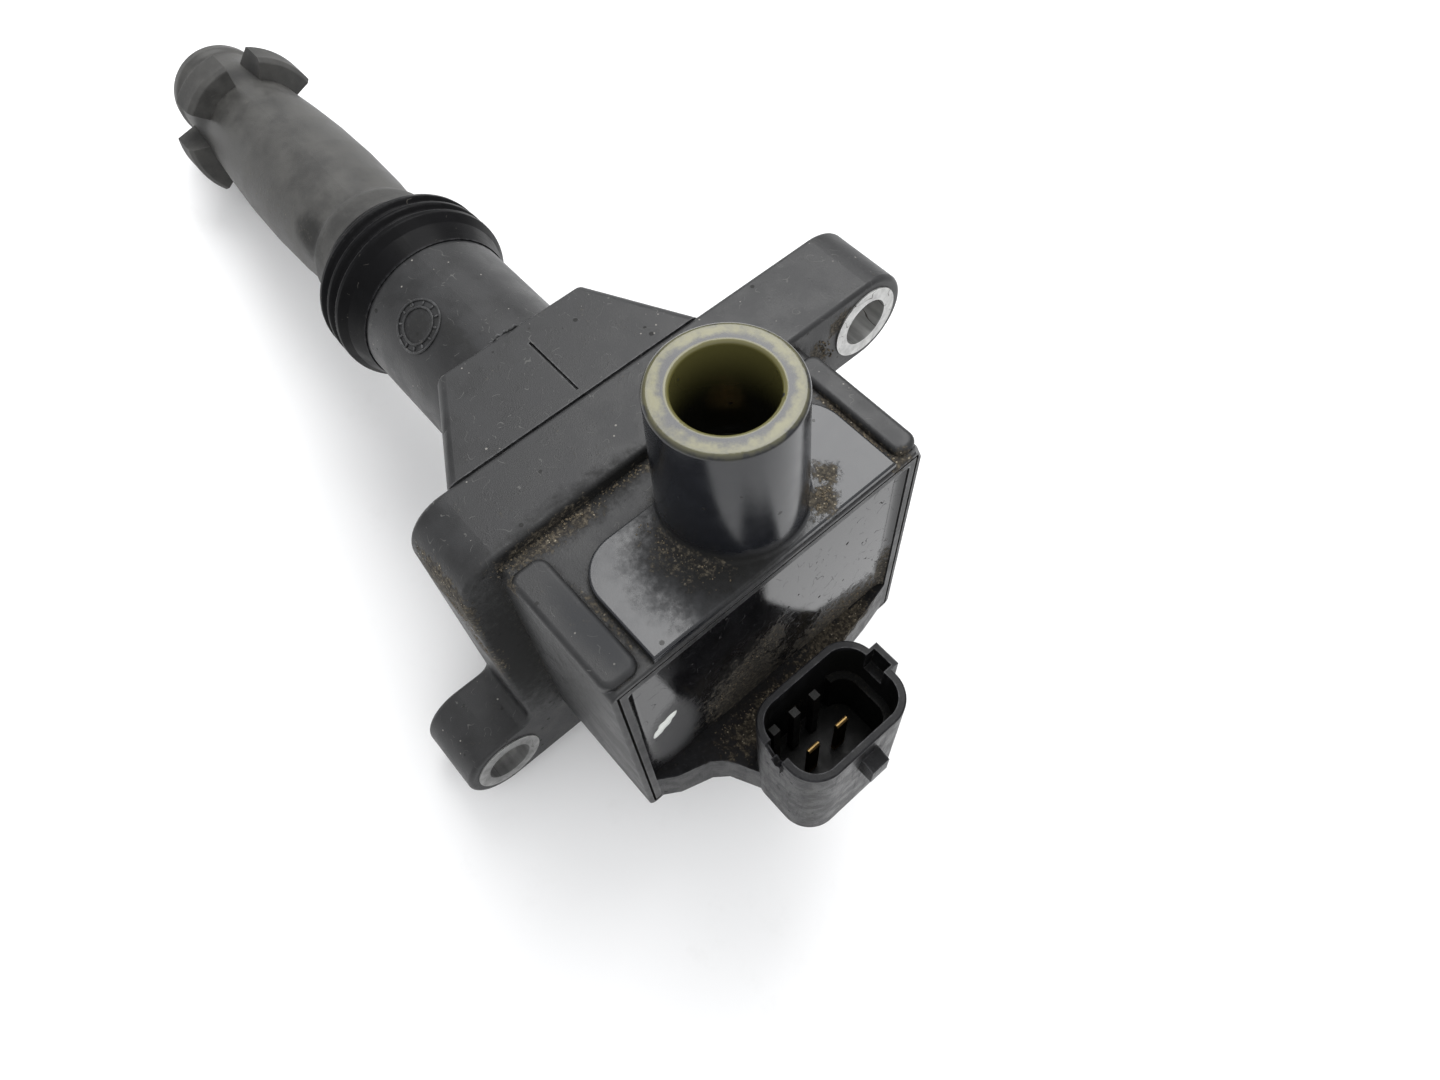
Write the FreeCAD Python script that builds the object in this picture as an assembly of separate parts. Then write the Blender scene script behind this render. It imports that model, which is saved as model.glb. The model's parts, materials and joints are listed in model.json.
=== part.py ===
"""Twin-outlet ignition coil: potted transformer block, plug shaft and side outlet tower.

Frame: millimetres, +X runs along the plug shaft from the mounting face to the boot
mouth, +Z points the way the outlet tower stands, +Y completes the right-handed set.
The origin lies on the shaft's axis, in the plane of the mounting face.
"""

import FreeCAD, Part
import math
import os

from FreeCAD import Vector

X_AXIS = Vector(1, 0, 0)
Y_AXIS = Vector(0, 1, 0)
Z_AXIS = Vector(0, 0, 1)

# How far a cutting or joining body runs past the face it meets, and the
# tolerances that edges are picked by
OVERRUN = 1.0
EDGE_TOL = 0.01
FLAT_TOL = 1e-6
ALIGNED = 0.999

# Mounting flange and its two ears (the seating face is x = 0)
FLANGE_T = 11.4
FLANGE_Y = (-33.5, 24.7)
FLANGE_Z = (-44.8, 11.5)
FLANGE_CORNER_R = 6.0
FLANGE_EDGE_R = 0.7
EAR_R = 6.8
EAR_ARMPIT_R = 2.0
EAR_UPPER = (-39.7, FLANGE_Z[1] - EAR_R)
EAR_LOWER = (30.6, FLANGE_Z[0] + EAR_R)
BUSH_OUTER_R = 5.3
BUSH_HOLE_R = 3.5
BUSH_PROUD = 0.2

# Transformer box, open at the back
BODY_X_REAR = -32.5
BODY_Y = (-27.9, 19.4)
BODY_Z = (-32.6, 9.4)
BODY_WALL = 2.0
BODY_EDGE_R = 1.2
BODY_RIM_R = 0.3
FLANGE_WEB_T = 2.4
RIM_GROOVE_INSET = 0.7
RIM_GROOVE_W = 0.35
RIM_GROOVE_D = 0.8
CHIP_SIZE = 1.7

# Pads on the top face beside the outlet panel, flush with the box's two sides
PAD_H = 1.1
PAD_ROOT = 1.5
PAD_CORNER_R = 1.6
PAD_EDGE_R = 0.8
PAD_X = (-31.8, -13.6)
LEFT_PAD_Y = (14.4, BODY_Y[1])
RIGHT_PAD_Y = (BODY_Y[0], -24.3)

# Outlet panel and tower
PANEL_X = (-32.3, -17.2)
PANEL_Y = (-23.3, 13.2)
PANEL_T = 1.1
PANEL_CORNER_R = 5.5
PANEL_EDGE_R = 0.3
TOWER_X = -22.5
TOWER_Y = -6.5
TOWER_TOP_Z = 30.4
TOWER_BASE_R = 8.95
TOWER_TOP_R = 8.45
TOWER_RIM_R = 0.6
TOWER_BORE_R = 5.6
TOWER_BORE_RIM_R = 0.5
TOWER_FOOT_R = 0.5
TOWER_BORE_STEP_Z = 14.6
TOWER_SOCKET_R = 4.6
TOWER_BORE_FLOOR_Z = 12.4
TOWER_POST_H = 1.3
TOWER_POST_R = 2.4
TOWER_POST_TIP_H = 0.8
TOWER_POST_TIP_CUT = 0.6
TOWER_POST_CUP_R = 1.2
TOWER_POST_CUP_FLOOR = 1.0
TOWER_SHANK_R = 2.0
TOWER_SHANK_BELOW = 1.2
TOWER_ROOT_R = 7.0
TOWER_ROOT_Z = 6.2

# Neck between the flange and the shaft tube
NECK_LEN = 14.5
NECK_BASE_Y = (-20.9, 18.0)
NECK_BASE_Z_LOW = -37.0
NECK_FRONT_Y = (-13.3, 9.9)
NECK_FRONT_Z_LOW = -13.0
NECK_CORNER_R = 1.6
NECK_EDGE_R = 0.4
NECK_SLIT_W = 0.35
NECK_SLIT_D = 0.5
NECK_SLIT_Y = -2.2
NECK_SLIT_X = (1.0, 11.1)

# Shaft tube and the spigot that carries the boot
TUBE_R = 11.5
TUBE_END_X = 45.4
SPIGOT_R = 7.6
SPIGOT_END_X = 61.0
SHAFT_BORE_R = 5.0

# Connector moulding at the back
CONN_X = -44.4
CONN_Y = -2.4
CONN_HALF_X = 6.4
CONN_HALF_Y = 9.1
CONN_CORNER_R = 4.4
CONN_BOTTOM_R = 1.0
CONN_RIM_R = 0.25
CONN_WALL = 1.0
CONN_TOP_Z = -8.7
CONN_BOTTOM_Z = -31.9
CONN_SHOULDER_Z = -16.5
CONN_SHOULDER_W = 1.1
CONN_FLOOR_Z = -26.0
CONN_WEB_TOP_Z = -24.4
CONN_ROOT_DEPTH = 3.0
CONN_ROOT_OVERLAP = 3.0
CONN_ROOT_LEFT = ((-1.5, 15.0), (-2.9, 10.4), (-4.4, 8.5))
CONN_ROOT_RIGHT = ((-4.4, -13.4), (-2.0, -15.6), (-1.0, -21.5))
KEYWAY_X = -43.8
KEYWAY_HALF_W = 1.5
KEYWAY_CHEEK_T = 0.4
KEYWAY_BAR_T = 0.8
KEYWAY_GAP = 0.4
KEYWAY_DEPTH = 5.0
KEYWAY_SILL_H = 0.9
STUB_X = (-45.4, -43.9)
STUB_PROUD = 0.45
STUB_Z = (-12.9, -9.5)
STUB_NIBBLE = 0.8
SNAG_X = (-43.9, -42.2)
SNAG_T = 0.5
SNAG_DROP = (0.3, 1.1, 2.0)
NUB_Y = (-4.5, -1.7)
NUB_OUT = 2.0
NUB_SLOPE_H = 0.6
NUB_TOP_Z = -12.8
NUB_H = 4.2
CODING_POST_SIDE = 1.1
CODING_POST_TOP_Z = -12.5
CODING_POST_WALL_GAP = 1.25
CODING_POST_Y = (3.7, 0.25, -3.2)

# Low-voltage blades
BLADE_X = -44.8
BLADE_MID_Y = -1.9
BLADE_PITCH = 5.0
BLADE_W = 1.8
BLADE_T = 0.6
BLADE_TIP_Z = -16.4
BLADE_FOOT_Z = -28.6
BLADE_INNER_X = -27.6
BLADE_TIP_CHAMFER = 0.2

# Transformer: winding axis along Y through this point
COIL_X = -16.6
COIL_Z = -11.2
CORE_SIDE = 7.6
CORE_Y = (-24.3, 15.8)
CORE_LIMB = 4.2
CORE_HALF_Z = 16.6
CORE_END_GAP = 1.2
CORE_CORNER_R = 1.5
MAGNET_T = 1.2
PRIMARY_BOBBIN_R = 6.4
PRIMARY_BOBBIN_FLANGE_R = 7.9
PRIMARY_BOBBIN_END_T = 0.8
PRIMARY_WINDING_R = 7.6
SECONDARY_BOBBIN_R = (8.1, 9.0)
SECONDARY_RIB_R = 12.0
SECONDARY_WINDING_R = 11.4
SECONDARY_CHAMBERS = 7
SECONDARY_RIB_T = 0.9

# Leads: each path is given by where it leaves the winding and where it turns
LEAD_R = 0.6
PRIMARY_LEAD_R = 0.48
PRIMARY_LEAD_DIP = 1.0
PRIMARY_LEAD_Z = (COIL_Z - 9.6, COIL_Z - 11.6)
PLUG_LEAD_INSET = 1.0
PLUG_LEAD_START_X = COIL_X + 5.0
PLUG_LEAD_TURN_X = -5.5
PLUG_LEAD_Z = COIL_Z + 11.5
TOWER_LEAD_INSET = 1.0
TOWER_LEAD_X = COIL_X - 7.6
TOWER_LEAD_START_Z = COIL_Z + 9.5
TOWER_LEAD_Z = 3.6

# High-voltage path down the shaft
HT_PIN_R = 1.5
HT_PIN_X = (2.0, 22.0)
HT_PIN_HEAD_R = 2.6
RESIN_PLUG_X = 20.0
RESISTOR_R = 3.4
RESISTOR_X = (24.0, 44.0)
FERRULE_R = 3.9
FERRULE_LEN = 2.4
FERRULE_T = 0.4

# Plug contact and its spring (the contact is pushed back by the plug)
SPRING_WIRE_R = 0.35
SPRING_MEAN_R = 2.9
SPRING_TURNS = 12
CONTACT_X = (72.5, 81.5)
CONTACT_R = 4.2
CONTACT_CUP_R = 3.3
CONTACT_FLOOR_T = 1.6
CONTACT_EDGE_R = 0.5

# Spark-plug boot
BOOT_REAR_X = 46.2
BOOT_TIP_X = 102.4
BOOT_SPIGOT_BORE_R = SPIGOT_R
BOOT_CAVITY_R = 5.9
BOOT_MOUTH_R = 5.2
BOOT_MOUTH_START_X = 83.0
BOOT_CHAMFER = 0.8
BOOT_BLANK_BORE_R = 4.2
LOBE_CENTRES_DEG = (-49.0, 25.0, 102.0, 206.0)
LOBE_ARC_DEG = 47.0
LOBE_X = (88.4, 95.0)
LOBE_R = 11.7
LOBE_ROOT_R = 6.5
LOBE_TOE_R = 8.0
LOBE_LEAN = 0.4
LOBE_SHOULDER = 0.6
LOBE_RAMP = 2.2
LOBE_SOFT_R = 0.4

# Well seal on the shaft tube: (x, radius) of its outer profile, back to front
SEAL_PROFILE = (
    (34.2, 11.7), (35.4, 12.1), (37.0, 12.7), (38.2, 13.6), (38.9, 13.65), (39.4, 12.9),
    (39.9, 12.9), (40.5, 13.6), (41.1, 13.6), (41.6, 12.9), (42.1, 12.9), (42.7, 13.55),
    (43.4, 13.4), (44.6, 12.4), (46.1, 11.4),
)
SEAL_SOFT_R = 0.3

# Boot's outer profile: (x, radius), back to front
BOOT_PROFILE = (
    (46.2, 10.3), (51.4, 10.0), (52.6, 9.2), (54.2, 9.3), (58.0, 9.6), (66.0, 9.8),
    (74.0, 9.6), (81.0, 9.1), (87.0, 8.5), (96.0, 7.9), (100.2, 7.5),
    (100.9, 7.9), (102.4, 7.7),
)
BOOT_SOFT_R = 6.0

# Potting surface: flat in the middle, drawn up along the walls
POTTING_RECESS = 0.9
MENISCUS_RISE = 0.6
MENISCUS_R = 1.6


def box(x0, x1, y0, y1, z0, z1):
    """Axis-aligned box between two corners."""
    return Part.makeBox(x1 - x0, y1 - y0, z1 - z0, Vector(x0, y0, z0))


def rod_x(x0, x1, radius, y=0.0, z=0.0):
    """Cylinder along X."""
    return Part.makeCylinder(radius, x1 - x0, Vector(x0, y, z), X_AXIS)


def rod_y(y0, y1, radius, x, z):
    """Cylinder along Y."""
    return Part.makeCylinder(radius, y1 - y0, Vector(x, y0, z), Y_AXIS)


def rod_z(z0, z1, radius, x, y):
    """Cylinder along Z."""
    return Part.makeCylinder(radius, z1 - z0, Vector(x, y, z0), Z_AXIS)


def edges_along(shape, axis):
    """Straight edges of a shape that run along an axis."""
    found = []
    for edge in shape.Edges:
        if not isinstance(edge.Curve, Part.Line) and not isinstance(edge.Curve, Part.LineSegment):
            continue
        run = edge.Vertexes[-1].Point.sub(edge.Vertexes[0].Point)
        if run.Length > FLAT_TOL and abs(run.normalize().dot(axis)) > ALIGNED:
            found.append(edge)
    return found


def rounded_box(x0, x1, y0, y1, z0, z1, radius, axis):
    """Box whose four edges along one axis are rounded."""
    block = box(x0, x1, y0, y1, z0, z1)
    return block.makeFillet(radius, edges_along(block, axis))


def rounded_path(points, radius):
    """Edges through (x, radius) points, each inner corner rounded as far as its runs allow."""
    corners = [Vector(x, 0, r) for x, r in points]
    edges = []
    start = corners[0]
    for before, corner, after in zip(corners, corners[1:], corners[2:]):
        back = before.sub(corner)
        ahead = after.sub(corner)
        shorter = min(back.Length, ahead.Length)
        half_turn = (math.pi - back.getAngle(ahead)) / 2
        cut = min(radius * math.tan(half_turn), 0.45 * shorter)
        first = corner.add(back.normalize().multiply(cut))
        last = corner.add(ahead.normalize().multiply(cut))
        bulge = cut * math.tan(half_turn / 2)
        toward = first.add(last).multiply(0.5).sub(corner)
        middle = corner.add(toward.normalize().multiply(bulge))
        edges.append(Part.LineSegment(start, first).toShape())
        edges.append(Part.Arc(first, middle, last).toShape())
        start = last
    edges.append(Part.LineSegment(start, corners[-1]).toShape())
    return edges


def revolve_x(points, corner_r=0.0, inner=()):
    """Solid of revolution about the shaft axis.

    The outer points are (x, radius) with their corners rounded; the inner ones close
    the outline with sharp corners.
    """
    if corner_r > 0:
        edges = rounded_path(points, corner_r)
    else:
        corners = [Vector(x, 0, r) for x, r in points]
        edges = [Part.LineSegment(p, q).toShape() for p, q in zip(corners, corners[1:])]
    closing = [points[-1], *inner, points[0]]
    for (x0, r0), (x1, r1) in zip(closing, closing[1:]):
        edges.append(Part.LineSegment(Vector(x0, 0, r0), Vector(x1, 0, r1)).toShape())
    face = Part.Face(Part.Wire(edges))
    return face.revolve(Vector(0, 0, 0), X_AXIS, 360)


def rounded_section(x, y_limits, z_limits, radius):
    """Closed wire: rectangle with rounded corners in a plane across X."""
    face = Part.Face(Part.makePolygon([
        Vector(x, y_limits[0], z_limits[0]), Vector(x, y_limits[1], z_limits[0]),
        Vector(x, y_limits[1], z_limits[1]), Vector(x, y_limits[0], z_limits[1]),
        Vector(x, y_limits[0], z_limits[0]),
    ]))
    block = face.extrude(Vector(1, 0, 0))
    block = block.makeFillet(radius, edges_along(block, X_AXIS))
    end = min(block.Faces, key=lambda f: f.CenterOfMass.x)
    return end.OuterWire


def prism_z(points, z0, z1):
    """Prism along Z from an outline of (x, y) points."""
    corners = [Vector(x, y, z0) for x, y in points]
    corners.append(corners[0])
    return Part.Face(Part.makePolygon(corners)).extrude(Vector(0, 0, z1 - z0))


def prism_y(points, y0, y1):
    """Prism along Y from an outline of (x, z) points."""
    corners = [Vector(x, y0, z) for x, z in points]
    corners.append(corners[0])
    return Part.Face(Part.makePolygon(corners)).extrude(Vector(0, y1 - y0, 0))


def wire_run(points, radius):
    """Bent wire: straight runs joined by balls at the corners."""
    run = None
    for start, end in zip(points, points[1:]):
        step = end.sub(start)
        piece = Part.makeCylinder(radius, step.Length, start, step)
        run = piece if run is None else run.fuse(piece)
    for corner in points[1:-1]:
        run = run.fuse(Part.makeSphere(radius, corner))
    return run.removeSplitter()


def cavity_box():
    """Inside of the transformer box, from the open back to the flange's front web."""
    return box(BODY_X_REAR, -FLANGE_WEB_T, BODY_Y[0] + BODY_WALL, BODY_Y[1] - BODY_WALL,
               BODY_Z[0] + BODY_WALL, BODY_Z[1] - BODY_WALL)


def ear(centre, toward_y, z_low, z_high):
    """Lug with its bar back to the flange plate."""
    y, z = centre
    lug = rod_x(-FLANGE_T, 0.0, EAR_R, y, z)
    bar = box(-FLANGE_T, 0.0, min(y, toward_y), max(y, toward_y), z_low, z_high)
    return lug.fuse(bar)


def flange():
    """Flange plate with its two diagonal ears."""
    plate = box(-FLANGE_T, 0.0, FLANGE_Y[0], FLANGE_Y[1], FLANGE_Z[0], FLANGE_Z[1])
    free_corners = [e for e in edges_along(plate, X_AXIS)
                    if (e.CenterOfMass.y > 0) == (e.CenterOfMass.z > 0)
                    or (e.CenterOfMass.y < 0 and e.CenterOfMass.z < 0)]
    plate = plate.makeFillet(FLANGE_CORNER_R, free_corners)
    upper = ear(EAR_UPPER, FLANGE_Y[0] + FLANGE_CORNER_R, EAR_UPPER[1] - EAR_R, FLANGE_Z[1])
    lower = ear(EAR_LOWER, FLANGE_Y[1] - FLANGE_CORNER_R, FLANGE_Z[0], EAR_LOWER[1] + EAR_R)
    solid = plate.fuse([upper, lower]).removeSplitter()
    armpits = [e for e in edges_along(solid, X_AXIS)
               if abs(e.CenterOfMass.z - (EAR_UPPER[1] - EAR_R)) < EDGE_TOL
               or abs(e.CenterOfMass.z - (EAR_LOWER[1] + EAR_R)) < EDGE_TOL]
    armpits = [e for e in armpits
               if FLANGE_Y[0] - EDGE_TOL < e.CenterOfMass.y < FLANGE_Y[1] + EDGE_TOL]
    solid = solid.makeFillet(EAR_ARMPIT_R, armpits)
    rims = [e for e in solid.Edges if e.BoundBox.XLength < FLAT_TOL]
    return solid.makeFillet(FLANGE_EDGE_R, rims)


def neck():
    """Tapered neck, flush with the top of the shaft tube."""
    block = Part.makeLoft([
        rounded_section(0.0, NECK_BASE_Y, (NECK_BASE_Z_LOW, TUBE_R), NECK_CORNER_R),
        rounded_section(NECK_LEN, NECK_FRONT_Y, (NECK_FRONT_Z_LOW, TUBE_R), NECK_CORNER_R),
    ], True, True)
    front = [e for e in block.Edges if e.CenterOfMass.x > NECK_LEN - EDGE_TOL]
    return block.makeFillet(NECK_EDGE_R, front)


def pad(y_limits):
    """Raised pad with soft top edges."""
    block = rounded_box(PAD_X[0], PAD_X[1], y_limits[0], y_limits[1],
                        BODY_Z[1] - PAD_ROOT, BODY_Z[1] + PAD_H, PAD_CORNER_R, Z_AXIS)
    top = [e for e in block.Edges if e.CenterOfMass.z > BODY_Z[1] + PAD_H - EDGE_TOL]
    return block.makeFillet(PAD_EDGE_R, top)


def corner_chip():
    """Piece knocked off the top rear right corner of the box."""
    corner = Vector(BODY_X_REAR, BODY_Y[0], BODY_Z[1])
    inner = (
        corner.add(Vector(CHIP_SIZE, 0, 0)),
        corner.add(Vector(0, CHIP_SIZE * 0.8, 0)),
        corner.add(Vector(0, 0, -CHIP_SIZE * 1.3)),
    )
    face = Part.Face(Part.makePolygon([*inner, inner[0]]))
    return face.extrude(Vector(-CHIP_SIZE, -CHIP_SIZE, CHIP_SIZE))


def body_shell():
    """Outside of the transformer box with its top pads."""
    shell = rounded_box(BODY_X_REAR, -1.0, BODY_Y[0], BODY_Y[1], BODY_Z[0], BODY_Z[1],
                        BODY_EDGE_R, X_AXIS)
    rear = [e for e in shell.Edges if e.CenterOfMass.x < BODY_X_REAR + EDGE_TOL]
    shell = shell.makeFillet(BODY_RIM_R, rear)
    return shell.fuse([pad(LEFT_PAD_Y), pad(RIGHT_PAD_Y)]).cut(corner_chip())


def rim_groove():
    """Narrow groove in the rim of the open back."""
    inset = RIM_GROOVE_INSET
    outer = box(BODY_X_REAR, BODY_X_REAR + RIM_GROOVE_D,
                BODY_Y[0] + inset, BODY_Y[1] - inset, BODY_Z[0] + inset, BODY_Z[1] - inset)
    inset += RIM_GROOVE_W
    inner = box(BODY_X_REAR, BODY_X_REAR + RIM_GROOVE_D,
                BODY_Y[0] + inset, BODY_Y[1] - inset, BODY_Z[0] + inset, BODY_Z[1] - inset)
    return outer.cut(inner)


def coil_housing():
    """Main moulding: box, flange, ears, neck, shaft tube and spigot."""
    tube = rod_x(0.0, TUBE_END_X, TUBE_R)
    spigot = rod_x(TUBE_END_X - OVERRUN, SPIGOT_END_X, SPIGOT_R)
    solid = body_shell().fuse([flange(), neck(), tube, spigot])
    slit = box(NECK_SLIT_X[0], NECK_SLIT_X[1], NECK_SLIT_Y - NECK_SLIT_W / 2, NECK_SLIT_Y + NECK_SLIT_W / 2,
               TUBE_R - NECK_SLIT_D, TUBE_R + OVERRUN)
    cuts = [
        cavity_box(),
        rod_x(-FLANGE_WEB_T - OVERRUN, SPIGOT_END_X + OVERRUN, SHAFT_BORE_R),
        rod_z(BODY_Z[1] - BODY_WALL - OVERRUN, BODY_Z[1] + OVERRUN, TOWER_ROOT_R, TOWER_X, TOWER_Y),
        rim_groove(),
        slit,
    ]
    for y, z in (EAR_UPPER, EAR_LOWER):
        cuts.append(rod_x(-FLANGE_T - 2 * OVERRUN, OVERRUN, BUSH_OUTER_R, y, z))
    return solid.cut(cuts).removeSplitter()


def ht_tower():
    """Outlet tower on its panel, with the root that dips into the potting."""
    panel = box(PANEL_X[0], PANEL_X[1], PANEL_Y[0], PANEL_Y[1], BODY_Z[1], BODY_Z[1] + PANEL_T)
    front_edges = [e for e in edges_along(panel, Z_AXIS) if e.Vertexes[0].X > PANEL_X[1] - EDGE_TOL]
    panel = panel.makeFillet(PANEL_CORNER_R, front_edges)
    base_z = BODY_Z[1]
    tower = Part.makeCone(TOWER_BASE_R, TOWER_TOP_R, TOWER_TOP_Z - base_z,
                          Vector(TOWER_X, TOWER_Y, base_z), Z_AXIS)
    rim = [e for e in tower.Edges if isinstance(e.Curve, Part.Circle)
           and e.CenterOfMass.z > TOWER_TOP_Z - EDGE_TOL]
    tower = tower.makeFillet(TOWER_RIM_R, rim)
    root = rod_z(TOWER_ROOT_Z, base_z + PANEL_T / 2, TOWER_ROOT_R, TOWER_X, TOWER_Y)
    bore = rod_z(TOWER_BORE_STEP_Z, TOWER_TOP_Z + OVERRUN, TOWER_BORE_R, TOWER_X, TOWER_Y)
    socket = rod_z(TOWER_BORE_FLOOR_Z, TOWER_BORE_STEP_Z + OVERRUN, TOWER_SOCKET_R, TOWER_X, TOWER_Y)
    stud_hole = rod_z(TOWER_ROOT_Z - OVERRUN, TOWER_BORE_FLOOR_Z + OVERRUN, TOWER_SHANK_R,
                      TOWER_X, TOWER_Y)
    solid = panel.fuse([tower, root]).cut([bore, socket, stud_hole]).removeSplitter()
    panel_top = [e for e in solid.Edges if e.BoundBox.ZLength < FLAT_TOL
                 and abs(e.CenterOfMass.z - BODY_Z[1] - PANEL_T) < EDGE_TOL]
    joint = [e for e in panel_top if isinstance(e.Curve, Part.Circle)
             and e.Curve.Radius > TOWER_TOP_R]
    solid = solid.makeFillet(TOWER_FOOT_R, joint)
    mouth = [e for e in solid.Edges if isinstance(e.Curve, Part.Circle)
             and e.CenterOfMass.z > TOWER_TOP_Z - EDGE_TOL
             and abs(e.Curve.Radius - TOWER_BORE_R) < EDGE_TOL]
    solid = solid.makeFillet(TOWER_BORE_RIM_R, mouth)
    rim = [e for e in solid.Edges if e.BoundBox.ZLength < FLAT_TOL
           and abs(e.CenterOfMass.z - BODY_Z[1] - PANEL_T) < EDGE_TOL]
    return solid.makeFillet(PANEL_EDGE_R, rim)


def tower_terminal():
    """Brass outlet stud: shank through the root, cup-topped post in the bore."""
    shank = rod_z(TOWER_ROOT_Z - TOWER_SHANK_BELOW, TOWER_BORE_FLOOR_Z, TOWER_SHANK_R,
                  TOWER_X, TOWER_Y)
    post_top = TOWER_BORE_FLOOR_Z + TOWER_POST_H
    post = rod_z(TOWER_BORE_FLOOR_Z, post_top, TOWER_POST_R, TOWER_X, TOWER_Y)
    tip = Part.makeCone(TOWER_POST_R, TOWER_POST_R - TOWER_POST_TIP_CUT, TOWER_POST_TIP_H,
                        Vector(TOWER_X, TOWER_Y, post_top), Z_AXIS)
    hollow = rod_z(TOWER_BORE_FLOOR_Z + TOWER_POST_CUP_FLOOR, post_top + OVERRUN, TOWER_POST_CUP_R,
                   TOWER_X, TOWER_Y)
    return shank.fuse([post, tip]).cut(hollow)


def mount_bush(centre):
    """Steel compression bush in an ear."""
    y, z = centre
    outer = rod_x(-FLANGE_T - BUSH_PROUD, 0.0, BUSH_OUTER_R, y, z)
    return outer.cut(rod_x(-FLANGE_T - OVERRUN, OVERRUN, BUSH_HOLE_R, y, z))


def connector_outline(grow, z0, z1):
    """Rounded connector block, its half sizes grown by some margin."""
    return rounded_box(CONN_X - CONN_HALF_X - grow, CONN_X + CONN_HALF_X + grow,
                       CONN_Y - CONN_HALF_Y - grow, CONN_Y + CONN_HALF_Y + grow,
                       z0, z1, CONN_CORNER_R + grow, Z_AXIS)


def connector_web():
    """Root that ties the connector to the open back of the box."""
    rear = BODY_X_REAR
    left = BODY_Y[1] - BODY_WALL
    right = BODY_Y[0] + BODY_WALL
    end_x = CONN_X + CONN_ROOT_OVERLAP
    end_y = CONN_HALF_Y - CONN_WALL / 2
    outline = (
        (rear + CONN_ROOT_DEPTH, left), (rear, left),
        *((rear + x, y) for x, y in CONN_ROOT_LEFT),
        (end_x, CONN_Y + end_y), (end_x, CONN_Y - end_y),
        *((rear + x, y) for x, y in CONN_ROOT_RIGHT),
        (rear, right), (rear + CONN_ROOT_DEPTH, right),
    )
    return prism_z(outline, CONN_BOTTOM_Z + BODY_WALL, CONN_WEB_TOP_Z).fuse(
        prism_z(outline[1:-1], CONN_BOTTOM_Z, CONN_BOTTOM_Z + BODY_WALL))


def keyway():
    """Loop that bulges out round the notch at one end of the connector mouth."""
    wall_y = CONN_Y - CONN_HALF_Y
    inside_y = wall_y + KEYWAY_BAR_T
    out_y = wall_y - KEYWAY_GAP - KEYWAY_BAR_T
    reach = KEYWAY_HALF_W + KEYWAY_CHEEK_T
    low = CONN_TOP_Z - KEYWAY_DEPTH
    loop = box(KEYWAY_X - reach, KEYWAY_X + reach, out_y, inside_y, low, CONN_TOP_Z)
    gap = box(KEYWAY_X - KEYWAY_HALF_W, KEYWAY_X + KEYWAY_HALF_W,
              out_y + KEYWAY_BAR_T, inside_y + CONN_WALL, low + KEYWAY_SILL_H, CONN_TOP_Z + OVERRUN)
    return loop, gap


def broken_keyway():
    """The same notch at the other end, where only torn scraps of the loop are left."""
    wall_y = CONN_Y + CONN_HALF_Y
    low = CONN_TOP_Z - KEYWAY_DEPTH
    gap = box(KEYWAY_X - KEYWAY_HALF_W, KEYWAY_X + KEYWAY_HALF_W,
              wall_y - 2 * CONN_WALL, wall_y + OVERRUN, low + KEYWAY_SILL_H, CONN_TOP_Z + OVERRUN)
    middle_x = (STUB_X[0] + STUB_X[1]) / 2
    stub = ((STUB_X[0], STUB_Z[0] + STUB_NIBBLE), (middle_x, STUB_Z[0]),
            (STUB_X[1], STUB_Z[0] + STUB_NIBBLE / 2), (STUB_X[1], STUB_Z[1]),
            (middle_x, STUB_Z[1] - STUB_NIBBLE), (STUB_X[0], STUB_Z[1]))
    middle_x = (SNAG_X[0] + SNAG_X[1]) / 2
    snag = ((SNAG_X[0], low), (SNAG_X[1], low), (SNAG_X[1], CONN_TOP_Z - SNAG_DROP[0]),
            (middle_x, CONN_TOP_Z - SNAG_DROP[1]), (SNAG_X[0], CONN_TOP_Z - SNAG_DROP[2]))
    scraps = [
        prism_y(stub, wall_y - SNAG_T, wall_y + STUB_PROUD),
        prism_y(snag, wall_y - SNAG_T, wall_y),
    ]
    return scraps, gap


def locking_nub():
    """Block on the connector's back wall that the mating plug latches under."""
    wall = CONN_X - CONN_HALF_X
    root = wall + CONN_WALL / 2
    low = NUB_TOP_Z - NUB_H
    profile = ((root, NUB_TOP_Z), (wall, NUB_TOP_Z), (wall - NUB_OUT, NUB_TOP_Z - NUB_SLOPE_H),
               (wall - NUB_OUT, low), (root, low))
    return prism_y(profile, NUB_Y[0], NUB_Y[1])


def blade_centres():
    """Y positions of the two blades."""
    return (BLADE_MID_Y + BLADE_PITCH / 2, BLADE_MID_Y - BLADE_PITCH / 2)


def blade(y):
    """L-shaped low-voltage blade: upright tongue and foot into the potting."""
    half_t = BLADE_T / 2
    upright = box(BLADE_X - half_t, BLADE_X + half_t, y - BLADE_W / 2, y + BLADE_W / 2,
                  BLADE_FOOT_Z, BLADE_TIP_Z)
    tips = [e for e in upright.Edges if e.CenterOfMass.z > BLADE_TIP_Z - EDGE_TOL
            and abs(e.Vertexes[0].Y - e.Vertexes[-1].Y) > EDGE_TOL]
    upright = upright.makeChamfer(BLADE_TIP_CHAMFER, tips)
    foot = box(BLADE_X - half_t, BLADE_INNER_X, y - BLADE_W / 2, y + BLADE_W / 2,
               BLADE_FOOT_Z, BLADE_FOOT_Z + BLADE_T)
    return upright.fuse(foot).removeSplitter()


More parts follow.
